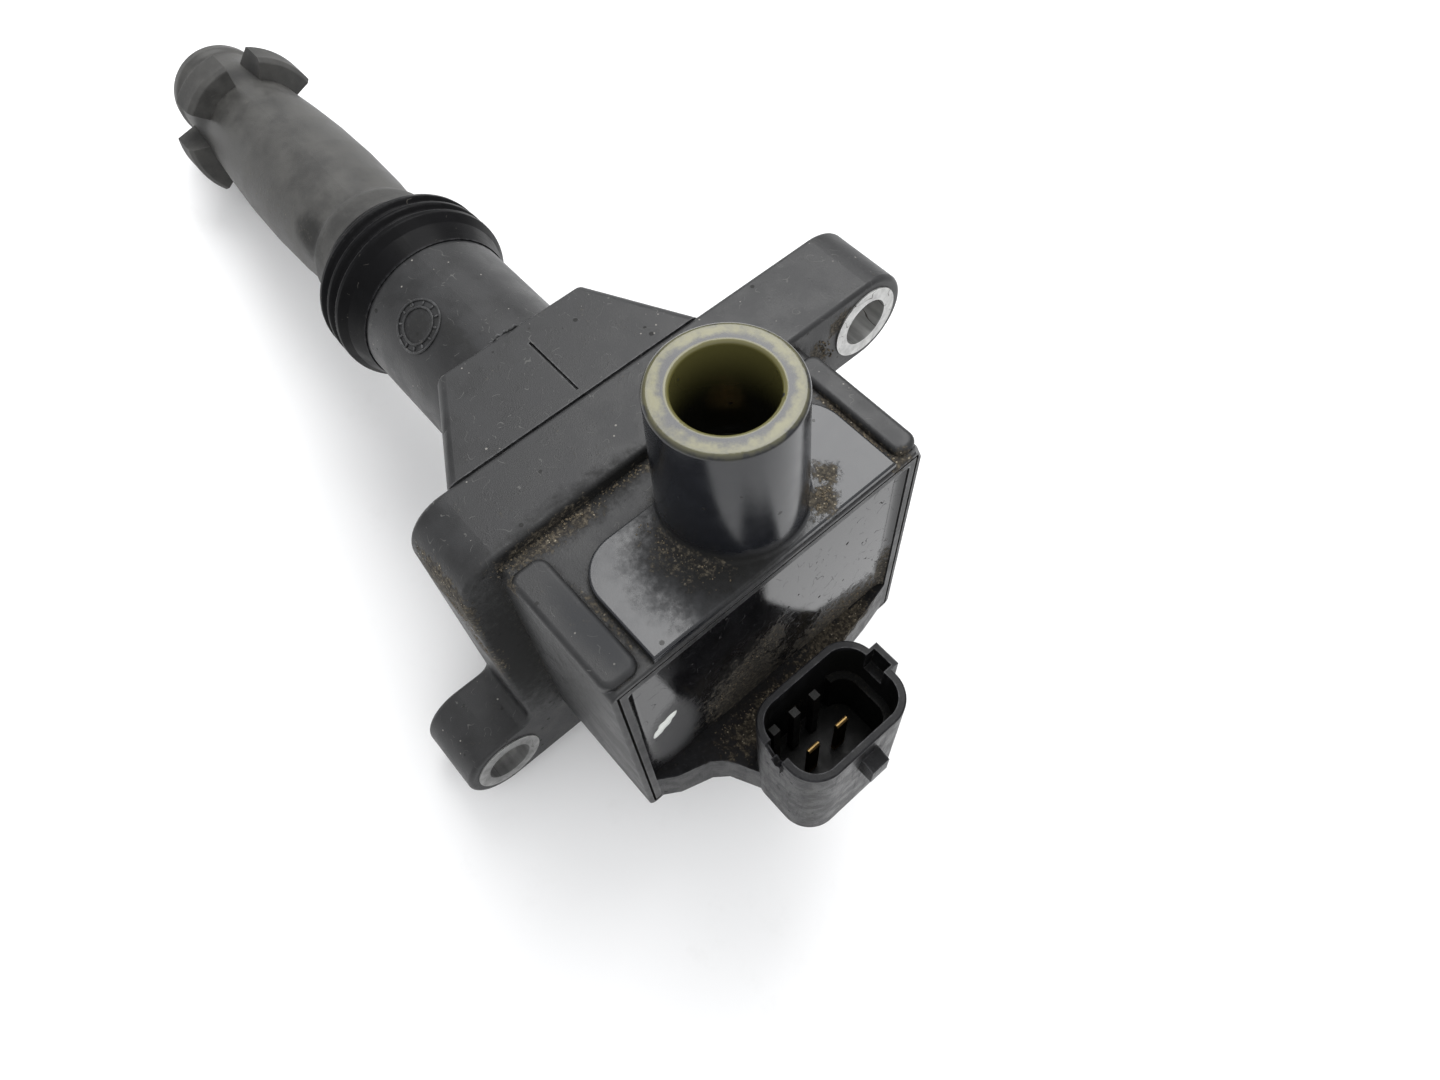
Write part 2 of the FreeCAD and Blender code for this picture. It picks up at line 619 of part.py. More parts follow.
def connector_shell():
    """Low-voltage connector with its web, keyways, latch nub and coding posts."""
    shell = connector_outline(0.0, CONN_BOTTOM_Z, CONN_TOP_Z)
    bottom = [e for e in shell.Edges if e.CenterOfMass.z < CONN_BOTTOM_Z + EDGE_TOL]
    shell = shell.makeFillet(CONN_BOTTOM_R, bottom)
    rim = [e for e in shell.Edges if e.CenterOfMass.z > CONN_TOP_Z - EDGE_TOL]
    shell = shell.makeFillet(CONN_RIM_R, rim)
    loop, gap = keyway()
    scraps, torn_gap = broken_keyway()
    shell = shell.fuse([connector_web(), loop, locking_nub()])
    mouth = connector_outline(-CONN_WALL, CONN_SHOULDER_Z, CONN_TOP_Z + OVERRUN)
    well = connector_outline(-CONN_WALL - CONN_SHOULDER_W, CONN_FLOOR_Z, CONN_SHOULDER_Z + OVERRUN)
    bay = box(CONN_X - CONN_HALF_X + CONN_WALL, CONN_X + CONN_HALF_X - CONN_WALL,
              CONN_Y - CONN_HALF_Y + CONN_CORNER_R, CONN_Y + CONN_HALF_Y - CONN_WALL,
              CONN_FLOOR_Z, CONN_SHOULDER_Z + OVERRUN)
    bay = bay.common(connector_outline(-CONN_WALL, CONN_FLOOR_Z, CONN_SHOULDER_Z + OVERRUN))
    shell = shell.cut([mouth, well, bay, gap, torn_gap]).fuse(scraps)
    wall_x = CONN_X + CONN_HALF_X - CONN_WALL - CODING_POST_WALL_GAP
    posts = []
    for y in CODING_POST_Y:
        posts.append(box(wall_x - CODING_POST_SIDE, wall_x,
                         y - CODING_POST_SIDE / 2, y + CODING_POST_SIDE / 2,
                         CONN_FLOOR_Z - OVERRUN, CODING_POST_TOP_Z))
    shell = shell.fuse(posts)
    for y in blade_centres():
        shell = shell.cut(blade(y))
    return shell.removeSplitter()


def core_bar():
    """Laminated bar through the windings, shortened for the magnet."""
    half = CORE_SIDE / 2
    return box(COIL_X - half, COIL_X + half, CORE_Y[0] + CORE_LIMB,
               CORE_Y[1] - CORE_LIMB - MAGNET_T, COIL_Z - half, COIL_Z + half)


def bias_magnet():
    """Magnet plate between the bar and the frame."""
    half = CORE_SIDE / 2
    return box(COIL_X - half, COIL_X + half, CORE_Y[1] - CORE_LIMB - MAGNET_T,
               CORE_Y[1] - CORE_LIMB, COIL_Z - half, COIL_Z + half)


def core_frame():
    """Laminated frame that closes the magnetic path round the windings."""
    half = CORE_SIDE / 2
    outer = rounded_box(COIL_X - half, COIL_X + half, CORE_Y[0], CORE_Y[1],
                        COIL_Z - CORE_HALF_Z, COIL_Z + CORE_HALF_Z, CORE_CORNER_R, X_AXIS)
    inner = box(COIL_X - half, COIL_X + half, CORE_Y[0] + CORE_LIMB, CORE_Y[1] - CORE_LIMB,
                COIL_Z - CORE_HALF_Z + CORE_LIMB, COIL_Z + CORE_HALF_Z - CORE_LIMB)
    return outer.cut(inner)


def bobbin_span():
    """Y limits of the bobbins, between the frame's two limbs."""
    return (CORE_Y[0] + CORE_LIMB + CORE_END_GAP, CORE_Y[1] - CORE_LIMB - CORE_END_GAP)


def primary_bobbin():
    """Spool for the low-voltage winding, square bore over the bar."""
    y0, y1 = bobbin_span()
    spool = rod_y(y0, y1, PRIMARY_BOBBIN_R, COIL_X, COIL_Z)
    for start in (y0, y1 - PRIMARY_BOBBIN_END_T):
        spool = spool.fuse(rod_y(start, start + PRIMARY_BOBBIN_END_T, PRIMARY_BOBBIN_FLANGE_R,
                                 COIL_X, COIL_Z))
    half = CORE_SIDE / 2
    bore = box(COIL_X - half, COIL_X + half, y0 - OVERRUN, y1 + OVERRUN, COIL_Z - half, COIL_Z + half)
    return spool.cut(bore)


def primary_winding():
    """Low-voltage winding as one sleeve."""
    y0, y1 = bobbin_span()
    sleeve = rod_y(y0 + PRIMARY_BOBBIN_END_T, y1 - PRIMARY_BOBBIN_END_T, PRIMARY_WINDING_R,
                   COIL_X, COIL_Z)
    return sleeve.cut(rod_y(y0, y1, PRIMARY_BOBBIN_R, COIL_X, COIL_Z))


def chamber_limits():
    """Y limits of each winding chamber of the secondary bobbin."""
    y0, y1 = bobbin_span()
    pitch = (y1 - y0 - SECONDARY_RIB_T) / SECONDARY_CHAMBERS
    limits = []
    for index in range(SECONDARY_CHAMBERS):
        start = y0 + SECONDARY_RIB_T + index * pitch
        limits.append((start, start + pitch - SECONDARY_RIB_T))
    return limits


def secondary_bobbin():
    """Chambered spool for the high-voltage winding."""
    y0, y1 = bobbin_span()
    inner, outer = SECONDARY_BOBBIN_R
    spool = rod_y(y0, y1, SECONDARY_RIB_R, COIL_X, COIL_Z)
    spool = spool.cut(rod_y(y0 - OVERRUN, y1 + OVERRUN, inner, COIL_X, COIL_Z))
    for start, end in chamber_limits():
        ring = rod_y(start, end, SECONDARY_RIB_R + OVERRUN, COIL_X, COIL_Z)
        spool = spool.cut(ring.cut(rod_y(start, end, outer, COIL_X, COIL_Z)))
    return spool


def secondary_winding():
    """High-voltage winding: one separate coil per chamber."""
    outer = SECONDARY_BOBBIN_R[1]
    coils = []
    for start, end in chamber_limits():
        coil = rod_y(start, end, SECONDARY_WINDING_R, COIL_X, COIL_Z)
        coils.append(coil.cut(rod_y(start, end, outer, COIL_X, COIL_Z)))
    return Part.makeCompound(coils)


def plug_side_lead():
    """Lead from the winding's end to the shaft pin."""
    y = bobbin_span()[0] + SECONDARY_RIB_T + PLUG_LEAD_INSET
    points = (
        Vector(PLUG_LEAD_START_X, y, PLUG_LEAD_Z),
        Vector(PLUG_LEAD_TURN_X, y, PLUG_LEAD_Z),
        Vector(PLUG_LEAD_TURN_X, 0, 0),
        Vector(HT_PIN_X[0], 0, 0),
    )
    return wire_run(points, LEAD_R)


def tower_side_lead():
    """Lead from the winding's other end up to the outlet stud."""
    y = bobbin_span()[1] - SECONDARY_RIB_T - TOWER_LEAD_INSET
    points = (
        Vector(TOWER_LEAD_X, y, TOWER_LEAD_START_Z),
        Vector(TOWER_LEAD_X, y, TOWER_LEAD_Z),
        Vector(TOWER_X, TOWER_Y, TOWER_LEAD_Z),
        Vector(TOWER_X, TOWER_Y, TOWER_ROOT_Z - TOWER_SHANK_BELOW),
    )
    return wire_run(points, LEAD_R)


def primary_lead(y, height):
    """Lead from a blade's foot to the nearer end of the low-voltage winding."""
    y0, y1 = bobbin_span()
    x = BLADE_INNER_X + PRIMARY_LEAD_R
    bobbin_end = y1 if y > BLADE_MID_Y else y0
    lane_y = bobbin_end + math.copysign(CORE_END_GAP / 2, y - BLADE_MID_Y)
    winding_z = COIL_Z - PRIMARY_BOBBIN_FLANGE_R + PRIMARY_LEAD_DIP
    points = (
        Vector(x, y, BLADE_FOOT_Z + BLADE_T / 2),
        Vector(x, y, height),
        Vector(x, lane_y, height),
        Vector(COIL_X, lane_y, winding_z),
        Vector(COIL_X, bobbin_end, winding_z),
    )
    return wire_run(points, PRIMARY_LEAD_R)


def ht_pin():
    """Brass pin at the root of the shaft bore."""
    return rod_x(HT_PIN_X[0], HT_PIN_X[1], HT_PIN_R).fuse(
        rod_x(HT_PIN_X[1], RESISTOR_X[0] - FERRULE_T, HT_PIN_HEAD_R))


def suppression_resistor():
    """Ceramic resistor rod."""
    return rod_x(RESISTOR_X[0], RESISTOR_X[1], RESISTOR_R)


def resistor_caps():
    """The two end caps, each a cup over the rod."""
    rear = rod_x(RESISTOR_X[0] - FERRULE_T, RESISTOR_X[0] + FERRULE_LEN, FERRULE_R)
    front = rod_x(RESISTOR_X[1] - FERRULE_LEN, RESISTOR_X[1] + FERRULE_T, FERRULE_R)
    rod = suppression_resistor()
    return rear.cut(rod), front.cut(rod)


def spring_limits():
    """X limits of the contact spring."""
    return RESISTOR_X[1] + FERRULE_T, CONTACT_X[0]


def contact_spring():
    """Coil spring between the resistor and the plug contact."""
    x0, x1 = spring_limits()
    length = x1 - x0 - 2 * SPRING_WIRE_R
    pitch = length / SPRING_TURNS
    helix = Part.makeHelix(pitch, length, SPRING_MEAN_R)
    profile = Part.Wire(Part.makeCircle(SPRING_WIRE_R, Vector(SPRING_MEAN_R, 0, 0), Y_AXIS))
    coil = Part.Wire(helix).makePipeShell([profile], True, True)
    coil.rotate(Vector(0, 0, 0), Y_AXIS, 90)
    coil.translate(Vector(x0 + SPRING_WIRE_R, 0, 0))
    return coil


def contact_cap():
    """Cup that takes the plug's terminal, open toward the boot mouth."""
    cap = rod_x(CONTACT_X[0], CONTACT_X[1], CONTACT_R)
    rims = [e for e in cap.Edges if isinstance(e.Curve, Part.Circle)]
    cap = cap.makeFillet(CONTACT_EDGE_R, rims)
    return cap.cut(rod_x(CONTACT_X[0] + CONTACT_FLOOR_T, CONTACT_X[1] + OVERRUN, CONTACT_CUP_R))


def boot_lobe(angle_deg):
    """One centring lobe near the boot's mouth, back face leaning forward."""
    x0, x1 = LOBE_X
    ring = revolve_x(((x0 - LOBE_LEAN, LOBE_ROOT_R), (x0, LOBE_R - LOBE_SHOULDER),
                      (x0 + LOBE_SHOULDER, LOBE_R), (x1 - LOBE_RAMP, LOBE_R),
                      (x1, LOBE_TOE_R), (x1, LOBE_ROOT_R)), LOBE_SOFT_R)
    half = math.radians(LOBE_ARC_DEG / 2)
    reach = 30.0
    centre = math.radians(angle_deg)
    corners = [Vector(x0 - OVERRUN, 0, 0)]
    for turn in (-half, 0.0, half):
        angle = centre + turn
        corners.append(Vector(x0 - OVERRUN, reach * math.sin(angle), reach * math.cos(angle)))
    corners.append(corners[0])
    wedge = Part.Face(Part.makePolygon(corners)).extrude(Vector(x1 - x0 + 2 * OVERRUN, 0, 0))
    return ring.common(wedge)


def plug_boot():
    """Rubber boot with its four centring lobes."""
    boot = revolve_x(BOOT_PROFILE, BOOT_SOFT_R,
                     ((BOOT_TIP_X, BOOT_BLANK_BORE_R), (BOOT_REAR_X, BOOT_BLANK_BORE_R)))
    boot = boot.fuse([boot_lobe(angle) for angle in LOBE_CENTRES_DEG])
    mouth_flare = Part.makeCone(BOOT_MOUTH_R, BOOT_MOUTH_R + BOOT_CHAMFER, BOOT_CHAMFER,
                                Vector(BOOT_TIP_X - BOOT_CHAMFER, 0, 0), X_AXIS)
    cuts = [
        rod_x(BOOT_REAR_X - OVERRUN, SPIGOT_END_X, BOOT_SPIGOT_BORE_R),
        rod_x(SPIGOT_END_X - OVERRUN, BOOT_MOUTH_START_X, BOOT_CAVITY_R),
        rod_x(BOOT_MOUTH_START_X - OVERRUN, BOOT_TIP_X + OVERRUN, BOOT_MOUTH_R),
        mouth_flare,
    ]
    return boot.cut(cuts).removeSplitter()


def well_seal():
    """Rubber seal on the shaft: a flared skirt and three ribs."""
    inside = (
        (SEAL_PROFILE[-1][0], SPIGOT_R),
        (TUBE_END_X, SPIGOT_R),
        (TUBE_END_X, TUBE_R),
        (SEAL_PROFILE[0][0], TUBE_R),
    )
    return revolve_x(SEAL_PROFILE, SEAL_SOFT_R, inside)


def potting_surface():
    """Space above the potting: a shallow dish whose edge runs up the box's walls."""
    flat_x = BODY_X_REAR + POTTING_RECESS
    width = math.sqrt(MENISCUS_R ** 2 - (MENISCUS_R - MENISCUS_RISE) ** 2)
    spread = MENISCUS_R - width - BODY_WALL
    dish = box(flat_x - 3 * MENISCUS_R, flat_x, BODY_Y[0] - spread, BODY_Y[1] + spread,
               BODY_Z[0] - spread, BODY_Z[1] + spread)
    rounded = [e for e in dish.Edges if e.CenterOfMass.x > flat_x - 2 * MENISCUS_R]
    return dish.makeFillet(MENISCUS_R, rounded)


def potting_resin(inner_parts):
    """Resin that fills the box and the root of the shaft bore round the inner parts."""
    block = cavity_box().cut(potting_surface())
    plug = rod_x(-FLANGE_WEB_T, RESIN_PLUG_X, SHAFT_BORE_R)
    window = rod_z(BODY_Z[1] - BODY_WALL, BODY_Z[1], TOWER_ROOT_R, TOWER_X, TOWER_Y)
    resin = block.fuse([plug, window])
    for part in inner_parts:
        resin = resin.cut(part)
    solids = sorted(resin.Solids, key=lambda solid: solid.Volume)
    return solids[-1]


def build():
    """Make every piece and write one STEP file for each."""
    blade_a, blade_b = (blade(y) for y in blade_centres())
    rear_cap, front_cap = resistor_caps()
    leads = [primary_lead(y, z) for y, z in zip(blade_centres(), PRIMARY_LEAD_Z)]
    pieces = {
        "coil_housing": coil_housing(),
        "ht_tower": ht_tower(),
        "tower_terminal": tower_terminal(),
        "mount_bush_upper": mount_bush(EAR_UPPER),
        "mount_bush_lower": mount_bush(EAR_LOWER),
        "connector_shell": connector_shell(),
        "terminal_blade_a": blade_a,
        "terminal_blade_b": blade_b,
        "primary_lead_a": leads[0],
        "primary_lead_b": leads[1],
        "core_bar": core_bar(),
        "core_frame": core_frame(),
        "bias_magnet": bias_magnet(),
        "primary_bobbin": primary_bobbin(),
        "primary_winding": primary_winding(),
        "secondary_bobbin": secondary_bobbin(),
        "secondary_winding": secondary_winding(),
        "plug_side_lead": plug_side_lead(),
        "tower_side_lead": tower_side_lead(),
        "ht_pin": ht_pin(),
        "suppression_resistor": suppression_resistor(),
        "resistor_cap_rear": rear_cap,
        "resistor_cap_front": front_cap,
        "contact_spring": contact_spring(),
        "contact_cap": contact_cap(),
        "plug_boot": plug_boot(),
        "well_seal": well_seal(),
    }
    sealed = ("connector_shell", "terminal_blade_a", "terminal_blade_b", "primary_lead_a",
              "primary_lead_b", "core_bar", "core_frame", "bias_magnet", "primary_bobbin",
              "primary_winding", "secondary_bobbin", "secondary_winding", "plug_side_lead",
              "tower_side_lead", "tower_terminal", "ht_pin", "ht_tower")
    pieces["potting_resin"] = potting_resin([pieces[name] for name in sealed])
    os.makedirs("parts", exist_ok=True)
    for name, shape in pieces.items():
        print(f"{name:22s} solids {len(shape.Solids)} volume {shape.Volume:9.1f} mm3"
              f" valid {shape.isValid()}")
        shape.exportStep(os.path.join("parts", name + ".step"))


build()
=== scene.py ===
"""Looks for a twin-outlet ignition coil, built round its fixed engineering model.

Everything is in metres in the model's own frame: +X runs down the plug shaft, +Z points
the way the outlet tower stands. The coil lies on a pale table, resting on the lower edge
of its flange and on its rubber boot.
"""

from __future__ import annotations

import json
import logging
import math
import random
from dataclasses import dataclass
from enum import Enum

import bmesh
import bpy
from mathutils import Matrix, Vector

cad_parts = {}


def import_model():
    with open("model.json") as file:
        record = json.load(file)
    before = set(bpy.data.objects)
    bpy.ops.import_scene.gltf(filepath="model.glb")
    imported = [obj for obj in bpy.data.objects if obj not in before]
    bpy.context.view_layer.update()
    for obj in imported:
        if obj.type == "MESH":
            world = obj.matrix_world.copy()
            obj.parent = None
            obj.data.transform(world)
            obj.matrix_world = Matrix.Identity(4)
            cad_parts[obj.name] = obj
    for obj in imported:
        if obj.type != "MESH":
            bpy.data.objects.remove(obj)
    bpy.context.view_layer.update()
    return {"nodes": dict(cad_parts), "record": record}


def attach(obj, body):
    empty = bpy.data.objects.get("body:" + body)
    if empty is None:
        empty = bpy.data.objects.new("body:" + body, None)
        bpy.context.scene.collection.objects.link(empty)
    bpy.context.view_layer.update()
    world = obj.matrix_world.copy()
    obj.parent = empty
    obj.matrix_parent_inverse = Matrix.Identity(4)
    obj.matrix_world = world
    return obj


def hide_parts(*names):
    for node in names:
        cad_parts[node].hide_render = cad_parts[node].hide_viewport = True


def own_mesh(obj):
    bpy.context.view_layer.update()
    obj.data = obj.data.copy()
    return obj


MM = 0.001
LOG = logging.getLogger("ignition_coil")
BODY = "coil"
CONTACT_BODY = "plug_contact"

Colour = tuple[float, float, float]
Point = tuple[float, float, float]
Socket = bpy.types.NodeSocket
Surface = tuple[Socket, Socket, Socket]


def mm(*values: float) -> Vector:
    """A point given in millimetres, in metres."""
    return Vector(values) * MM


class NodeSheet:
    """Small helper that adds and wires the nodes of one tree."""

    def __init__(self, tree: bpy.types.NodeTree) -> None:
        """Start on a tree.

        Args:
            tree: The shader tree or node group that the nodes go into.
        """
        self.tree = tree

    def add(self, kind: str, inputs: dict | None = None, **settings) -> bpy.types.Node:
        """Add one node.

        Args:
            kind: Node type without its "ShaderNode" prefix.
            inputs: Socket name or index to a plain value or to an output socket.
            settings: Properties set on the node itself.

        Returns:
            The new node.
        """
        node = self.tree.nodes.new("ShaderNode" + kind)
        for key, value in settings.items():
            setattr(node, key, value)
        for key, value in (inputs or {}).items():
            self.feed(node.inputs[key], value)
        return node

    def feed(self, socket: Socket, value: Socket | Vector | Point | float) -> None:
        """Link a socket to an output, or set its plain value.

        Args:
            socket: Input socket to fill.
            value: Output socket, or the plain value it gets.
        """
        if isinstance(value, bpy.types.NodeSocket):
            self.tree.links.new(value, socket)
        elif isinstance(value, tuple) and len(value) == 3 and socket.type == "RGBA":
            socket.default_value = (*value, 1.0)
        else:
            socket.default_value = value

    def math(self, operation: str, first: Socket | float, second: Socket | float = 0.0,
             clamp: bool = False) -> Socket:
        """Output of one Math node."""
        node = self.add("Math", {0: first, 1: second}, operation=operation, use_clamp=clamp)
        return node.outputs[0]

    def step(self, value: Socket, low: Socket | float, high: Socket | float,
             out_low: float = 0.0, out_high: float = 1.0) -> Socket:
        """Value carried smoothly from one range to another.

        Args:
            value: Output socket to read.
            low: Where the result starts to leave out_low.
            high: Where the result reaches out_high.
            out_low: Result at and before low.
            out_high: Result at and past high.

        Returns:
            The output socket.
        """
        node = self.add("MapRange", {"Value": value, "From Min": low, "From Max": high,
                                     "To Min": out_low, "To Max": out_high},
                        interpolation_type="SMOOTHSTEP")
        return node.outputs["Result"]

    def blend(self, factor: Socket | float, first: Socket | Colour,
              second: Socket | Colour) -> Socket:
        """Colour mixed between two colours by a factor."""
        node = self.add("Mix", {"Factor": factor, 6: first, 7: second}, data_type="RGBA")
        return node.outputs[2]

    def noise(self, vector: Socket, scale: Socket | float, detail: float = 3.0,
              roughness: float = 0.6) -> Socket:
        """Value of a noise texture at a position."""
        node = self.add("TexNoise", {"Vector": vector, "Scale": scale, "Detail": detail,
                                     "Roughness": roughness})
        return node.outputs["Fac"]


def new_group(name: str, inputs: dict[str, float | Point], outputs: tuple[str, ...]
              ) -> tuple[bpy.types.NodeTree, NodeSheet, bpy.types.Node, bpy.types.Node]:
    """Start a shader node group with named sockets.

    Args:
        name: Name of the group.
        inputs: Socket name to its default; a tuple makes a vector socket.
        outputs: Names of the value outputs.

    Returns:
        The group, a sheet for its nodes, its input node and its output node.
    """
    group = bpy.data.node_groups.new(name, "ShaderNodeTree")
    for socket, default in inputs.items():
        kind = "NodeSocketVector" if isinstance(default, tuple) else "NodeSocketFloat"
        made = group.interface.new_socket(socket, in_out="INPUT", socket_type=kind)
        made.default_value = default
    for socket in outputs:
        group.interface.new_socket(socket, in_out="OUTPUT", socket_type="NodeSocketFloat")
    return (group, NodeSheet(group), group.nodes.new("NodeGroupInput"),
            group.nodes.new("NodeGroupOutput"))


class Effects:
    """The shared surface effects, each a node group built once."""

    def __init__(self) -> None:
        """Build every group."""
        self.grain = self._grain()
        self.wear_and_sheen = self._edge_wear_and_sheen()
        self.patch = self._patch()
        self.specks = self._specks()
        self.hairs = self._hairs()
        self.grit = self._grit()
        self.corner = self._corner()

    def _grain(self) -> bpy.types.NodeTree:
        """Fine moulded grain with slow mottling over it.

        Returns:
            The node group.
        """
        group, sheet, given, out = new_group(
            "moulded_grain", {"Position": (0.0, 0.0, 0.0), "Grain per mm": 6.0,
                              "Mottle per mm": 0.25}, ("Height", "Mottle"))
        fine = sheet.noise(given.outputs["Position"],
                           sheet.math("MULTIPLY", given.outputs["Grain per mm"], 1000.0), 4.0)
        slow = sheet.noise(given.outputs["Position"],
                           sheet.math("MULTIPLY", given.outputs["Mottle per mm"], 1000.0), 5.0)
        sheet.feed(out.inputs["Height"], fine)
        sheet.feed(out.inputs["Mottle"], sheet.step(slow, 0.3, 0.7))
        return group

    def _edge_wear_and_sheen(self) -> bpy.types.NodeTree:
        """Mask of edges, from the difference between rounded and true normals; it carries rubbed
        wear and painted highlights on crests.

        Returns:
            The node group.
        """
        group, sheet, given, out = new_group(
            "edge_wear_and_sheen", {"Position": (0.0, 0.0, 0.0), "Radius": 0.0004, "Amount": 1.0,
                          "Breakup per mm": 1.2}, ("Mask",))
        soft = sheet.add("Bevel", {"Radius": given.outputs["Radius"]}, samples=4)
        true = sheet.add("NewGeometry")
        same = sheet.add("VectorMath", {0: soft.outputs["Normal"], 1: true.outputs["Normal"]},
                         operation="DOT_PRODUCT")
        edge = sheet.step(sheet.math("SUBTRACT", 1.0, same.outputs["Value"]), 0.01, 0.12)
        broken = sheet.noise(given.outputs["Position"],
                             sheet.math("MULTIPLY", given.outputs["Breakup per mm"], 1000.0), 5.0)
        kept = sheet.math("MULTIPLY", edge, sheet.step(broken, 0.38, 0.62, 0.15, 1.0))
        sheet.feed(out.inputs["Mask"],
                   sheet.math("MULTIPLY", kept, given.outputs["Amount"], clamp=True))
        return group

    def _patch(self) -> bpy.types.NodeTree:
        """Mask of one patch of dirt or painted light: an ellipsoid with a ragged, grainy border.

        Returns:
            The node group.
        """
        group, sheet, given, out = new_group(
            "dirt_and_light_patch", {"Position": (0.0, 0.0, 0.0), "Centre": (0.0, 0.0, 0.0),
                        "Reach": (1.0, 1.0, 1.0), "Ragged": 0.5, "Grain per mm": 0.7},
            ("Mask",))
        away = sheet.add("VectorMath", {0: given.outputs["Position"],
                                        1: given.outputs["Centre"]}, operation="SUBTRACT")
        scaled = sheet.add("VectorMath", {0: away.outputs[0], 1: given.outputs["Reach"]},
                           operation="DIVIDE")
        distance = sheet.add("VectorMath", {0: scaled.outputs[0]}, operation="LENGTH")
        rough = sheet.noise(given.outputs["Position"],
                            sheet.math("MULTIPLY", given.outputs["Grain per mm"], 1000.0),
                            6.0, 0.72)
        shift = sheet.math("MULTIPLY", sheet.math("SUBTRACT", rough, 0.5),
                           sheet.math("MULTIPLY", given.outputs["Ragged"], 4.0))
        edge = sheet.math("ADD", distance.outputs["Value"], shift)
        sheet.feed(out.inputs["Mask"], sheet.step(edge, 0.3, 1.05, 1.0, 0.0))
        return group

    def _specks(self) -> bpy.types.NodeTree:
        """Mask of scattered round specks of varied size.

        Returns:
            The node group.
        """
        group, sheet, given, out = new_group(
            "specks", {"Position": (0.0, 0.0, 0.0), "Per mm": 0.8, "Size": 0.12,
                       "Share": 0.4}, ("Mask",))
        cells = sheet.add("TexVoronoi", {
            "Vector": given.outputs["Position"],
            "Scale": sheet.math("MULTIPLY", given.outputs["Per mm"], 1000.0)})
        parts = sheet.add("SeparateColor", {"Color": cells.outputs["Color"]})
        radius = sheet.math("MULTIPLY", parts.outputs["Green"], given.outputs["Size"])
        spot = sheet.math("LESS_THAN", cells.outputs["Distance"], radius)
        chosen = sheet.math("LESS_THAN", parts.outputs["Red"], given.outputs["Share"])
        sheet.feed(out.inputs["Mask"], sheet.math("MULTIPLY", spot, chosen))
        return group

    def _hairs(self) -> bpy.types.NodeTree:
        """Mask of thin curved scratches and stray fibres.

        Returns:
            The node group.
        """
        group, sheet, given, out = new_group(
            "hairs", {"Position": (0.0, 0.0, 0.0), "Per mm": 0.35, "Thickness": 0.004,
                      "Share": 0.5}, ("Mask",))
        per_m = sheet.math("MULTIPLY", given.outputs["Per mm"], 1000.0)
        curve = sheet.noise(given.outputs["Position"], per_m, 1.0, 0.4)
        line = sheet.math("LESS_THAN",
                          sheet.math("ABSOLUTE", sheet.math("SUBTRACT", curve, 0.5)),
                          given.outputs["Thickness"])
        where = sheet.noise(given.outputs["Position"], sheet.math("MULTIPLY", per_m, 1.7), 2.0)
        kept = sheet.math("LESS_THAN", where, given.outputs["Share"])
        sheet.feed(out.inputs["Mask"], sheet.math("MULTIPLY", line, kept))
        return group

    def _grit(self) -> bpy.types.NodeTree:
        """Sandy texture of a deposit: its height, its shade and its few pale flecks.

        Returns:
            The node group.
        """
        group, sheet, given, out = new_group(
            "grit", {"Position": (0.0, 0.0, 0.0), "Per mm": 3.4},
            ("Height", "Tone", "Fleck"))
        per_m = sheet.math("MULTIPLY", given.outputs["Per mm"], 1000.0)
        cells = sheet.add("TexVoronoi", {"Vector": given.outputs["Position"], "Scale": per_m})
        parts = sheet.add("SeparateColor", {"Color": cells.outputs["Color"]})
        fine = sheet.noise(given.outputs["Position"], sheet.math("MULTIPLY", per_m, 0.6), 6.0)
        lump = sheet.math("SUBTRACT", 1.0, cells.outputs["Distance"])
        sheet.feed(out.inputs["Height"],
                   sheet.math("MULTIPLY", lump, sheet.step(fine, 0.35, 0.65)))
        sheet.feed(out.inputs["Tone"], sheet.math(
            "MULTIPLY", sheet.step(fine, 0.34, 0.68, 0.1, 1.0),
            sheet.step(parts.outputs["Blue"], 0.0, 1.0, 0.25, 1.0)))
        sheet.feed(out.inputs["Fleck"], sheet.math(
            "MULTIPLY", sheet.step(parts.outputs["Red"], 0.86, 0.92),
            sheet.step(cells.outputs["Distance"], 0.25, 0.4, 1.0, 0.0)))
        return group

    def _corner(self) -> bpy.types.NodeTree:
        """Mask of inside corners from ambient occlusion, where shade is painted in and some dust
        lies.

        Returns:
            The node group.
        """
        group, sheet, given, out = new_group(
            "corner_shade_and_dirt", {"Position": (0.0, 0.0, 0.0), "Reach": 0.0025, "Start": 0.25,
                            "Breakup per mm": 0.9}, ("Mask",))
        open_sky = sheet.add("AmbientOcclusion", {"Distance": given.outputs["Reach"]},
                             samples=5, only_local=False)
        hidden = sheet.math("SUBTRACT", 1.0, open_sky.outputs["AO"])
        broken = sheet.noise(given.outputs["Position"],
                             sheet.math("MULTIPLY", given.outputs["Breakup per mm"], 1000.0),
                             6.0, 0.75)
        level = sheet.math("ADD", hidden, sheet.math("MULTIPLY",
                                                     sheet.math("SUBTRACT", broken, 0.5), 0.9))
        start = given.outputs["Start"]
        sheet.feed(out.inputs["Mask"],
                   sheet.step(level, start, sheet.math("ADD", start, 0.25)))
        return group


@dataclass(frozen=True)
class DirtAndLightPatch:
    """One patch placed in millimetres: dust, or if it has a colour a flat patch of real staining,
    painted shade or painted reflection.
    """

    centre: Point
    reach: Point
    ragged: float = 0.4
    strength: float = 1.0
    stain_and_painted_light: Colour | None = None


class DustShade(Enum):
    """Colours of the loose dirt; the near-black one also paints shade."""

    CHAFF = (0.33, 0.29, 0.22)
    SAND = (0.118, 0.100, 0.072)
    SOIL = (0.013, 0.011, 0.009)
    SOOT_AND_SHADE = (0.005, 0.005, 0.0045)
    PALE = (0.20, 0.19, 0.175)


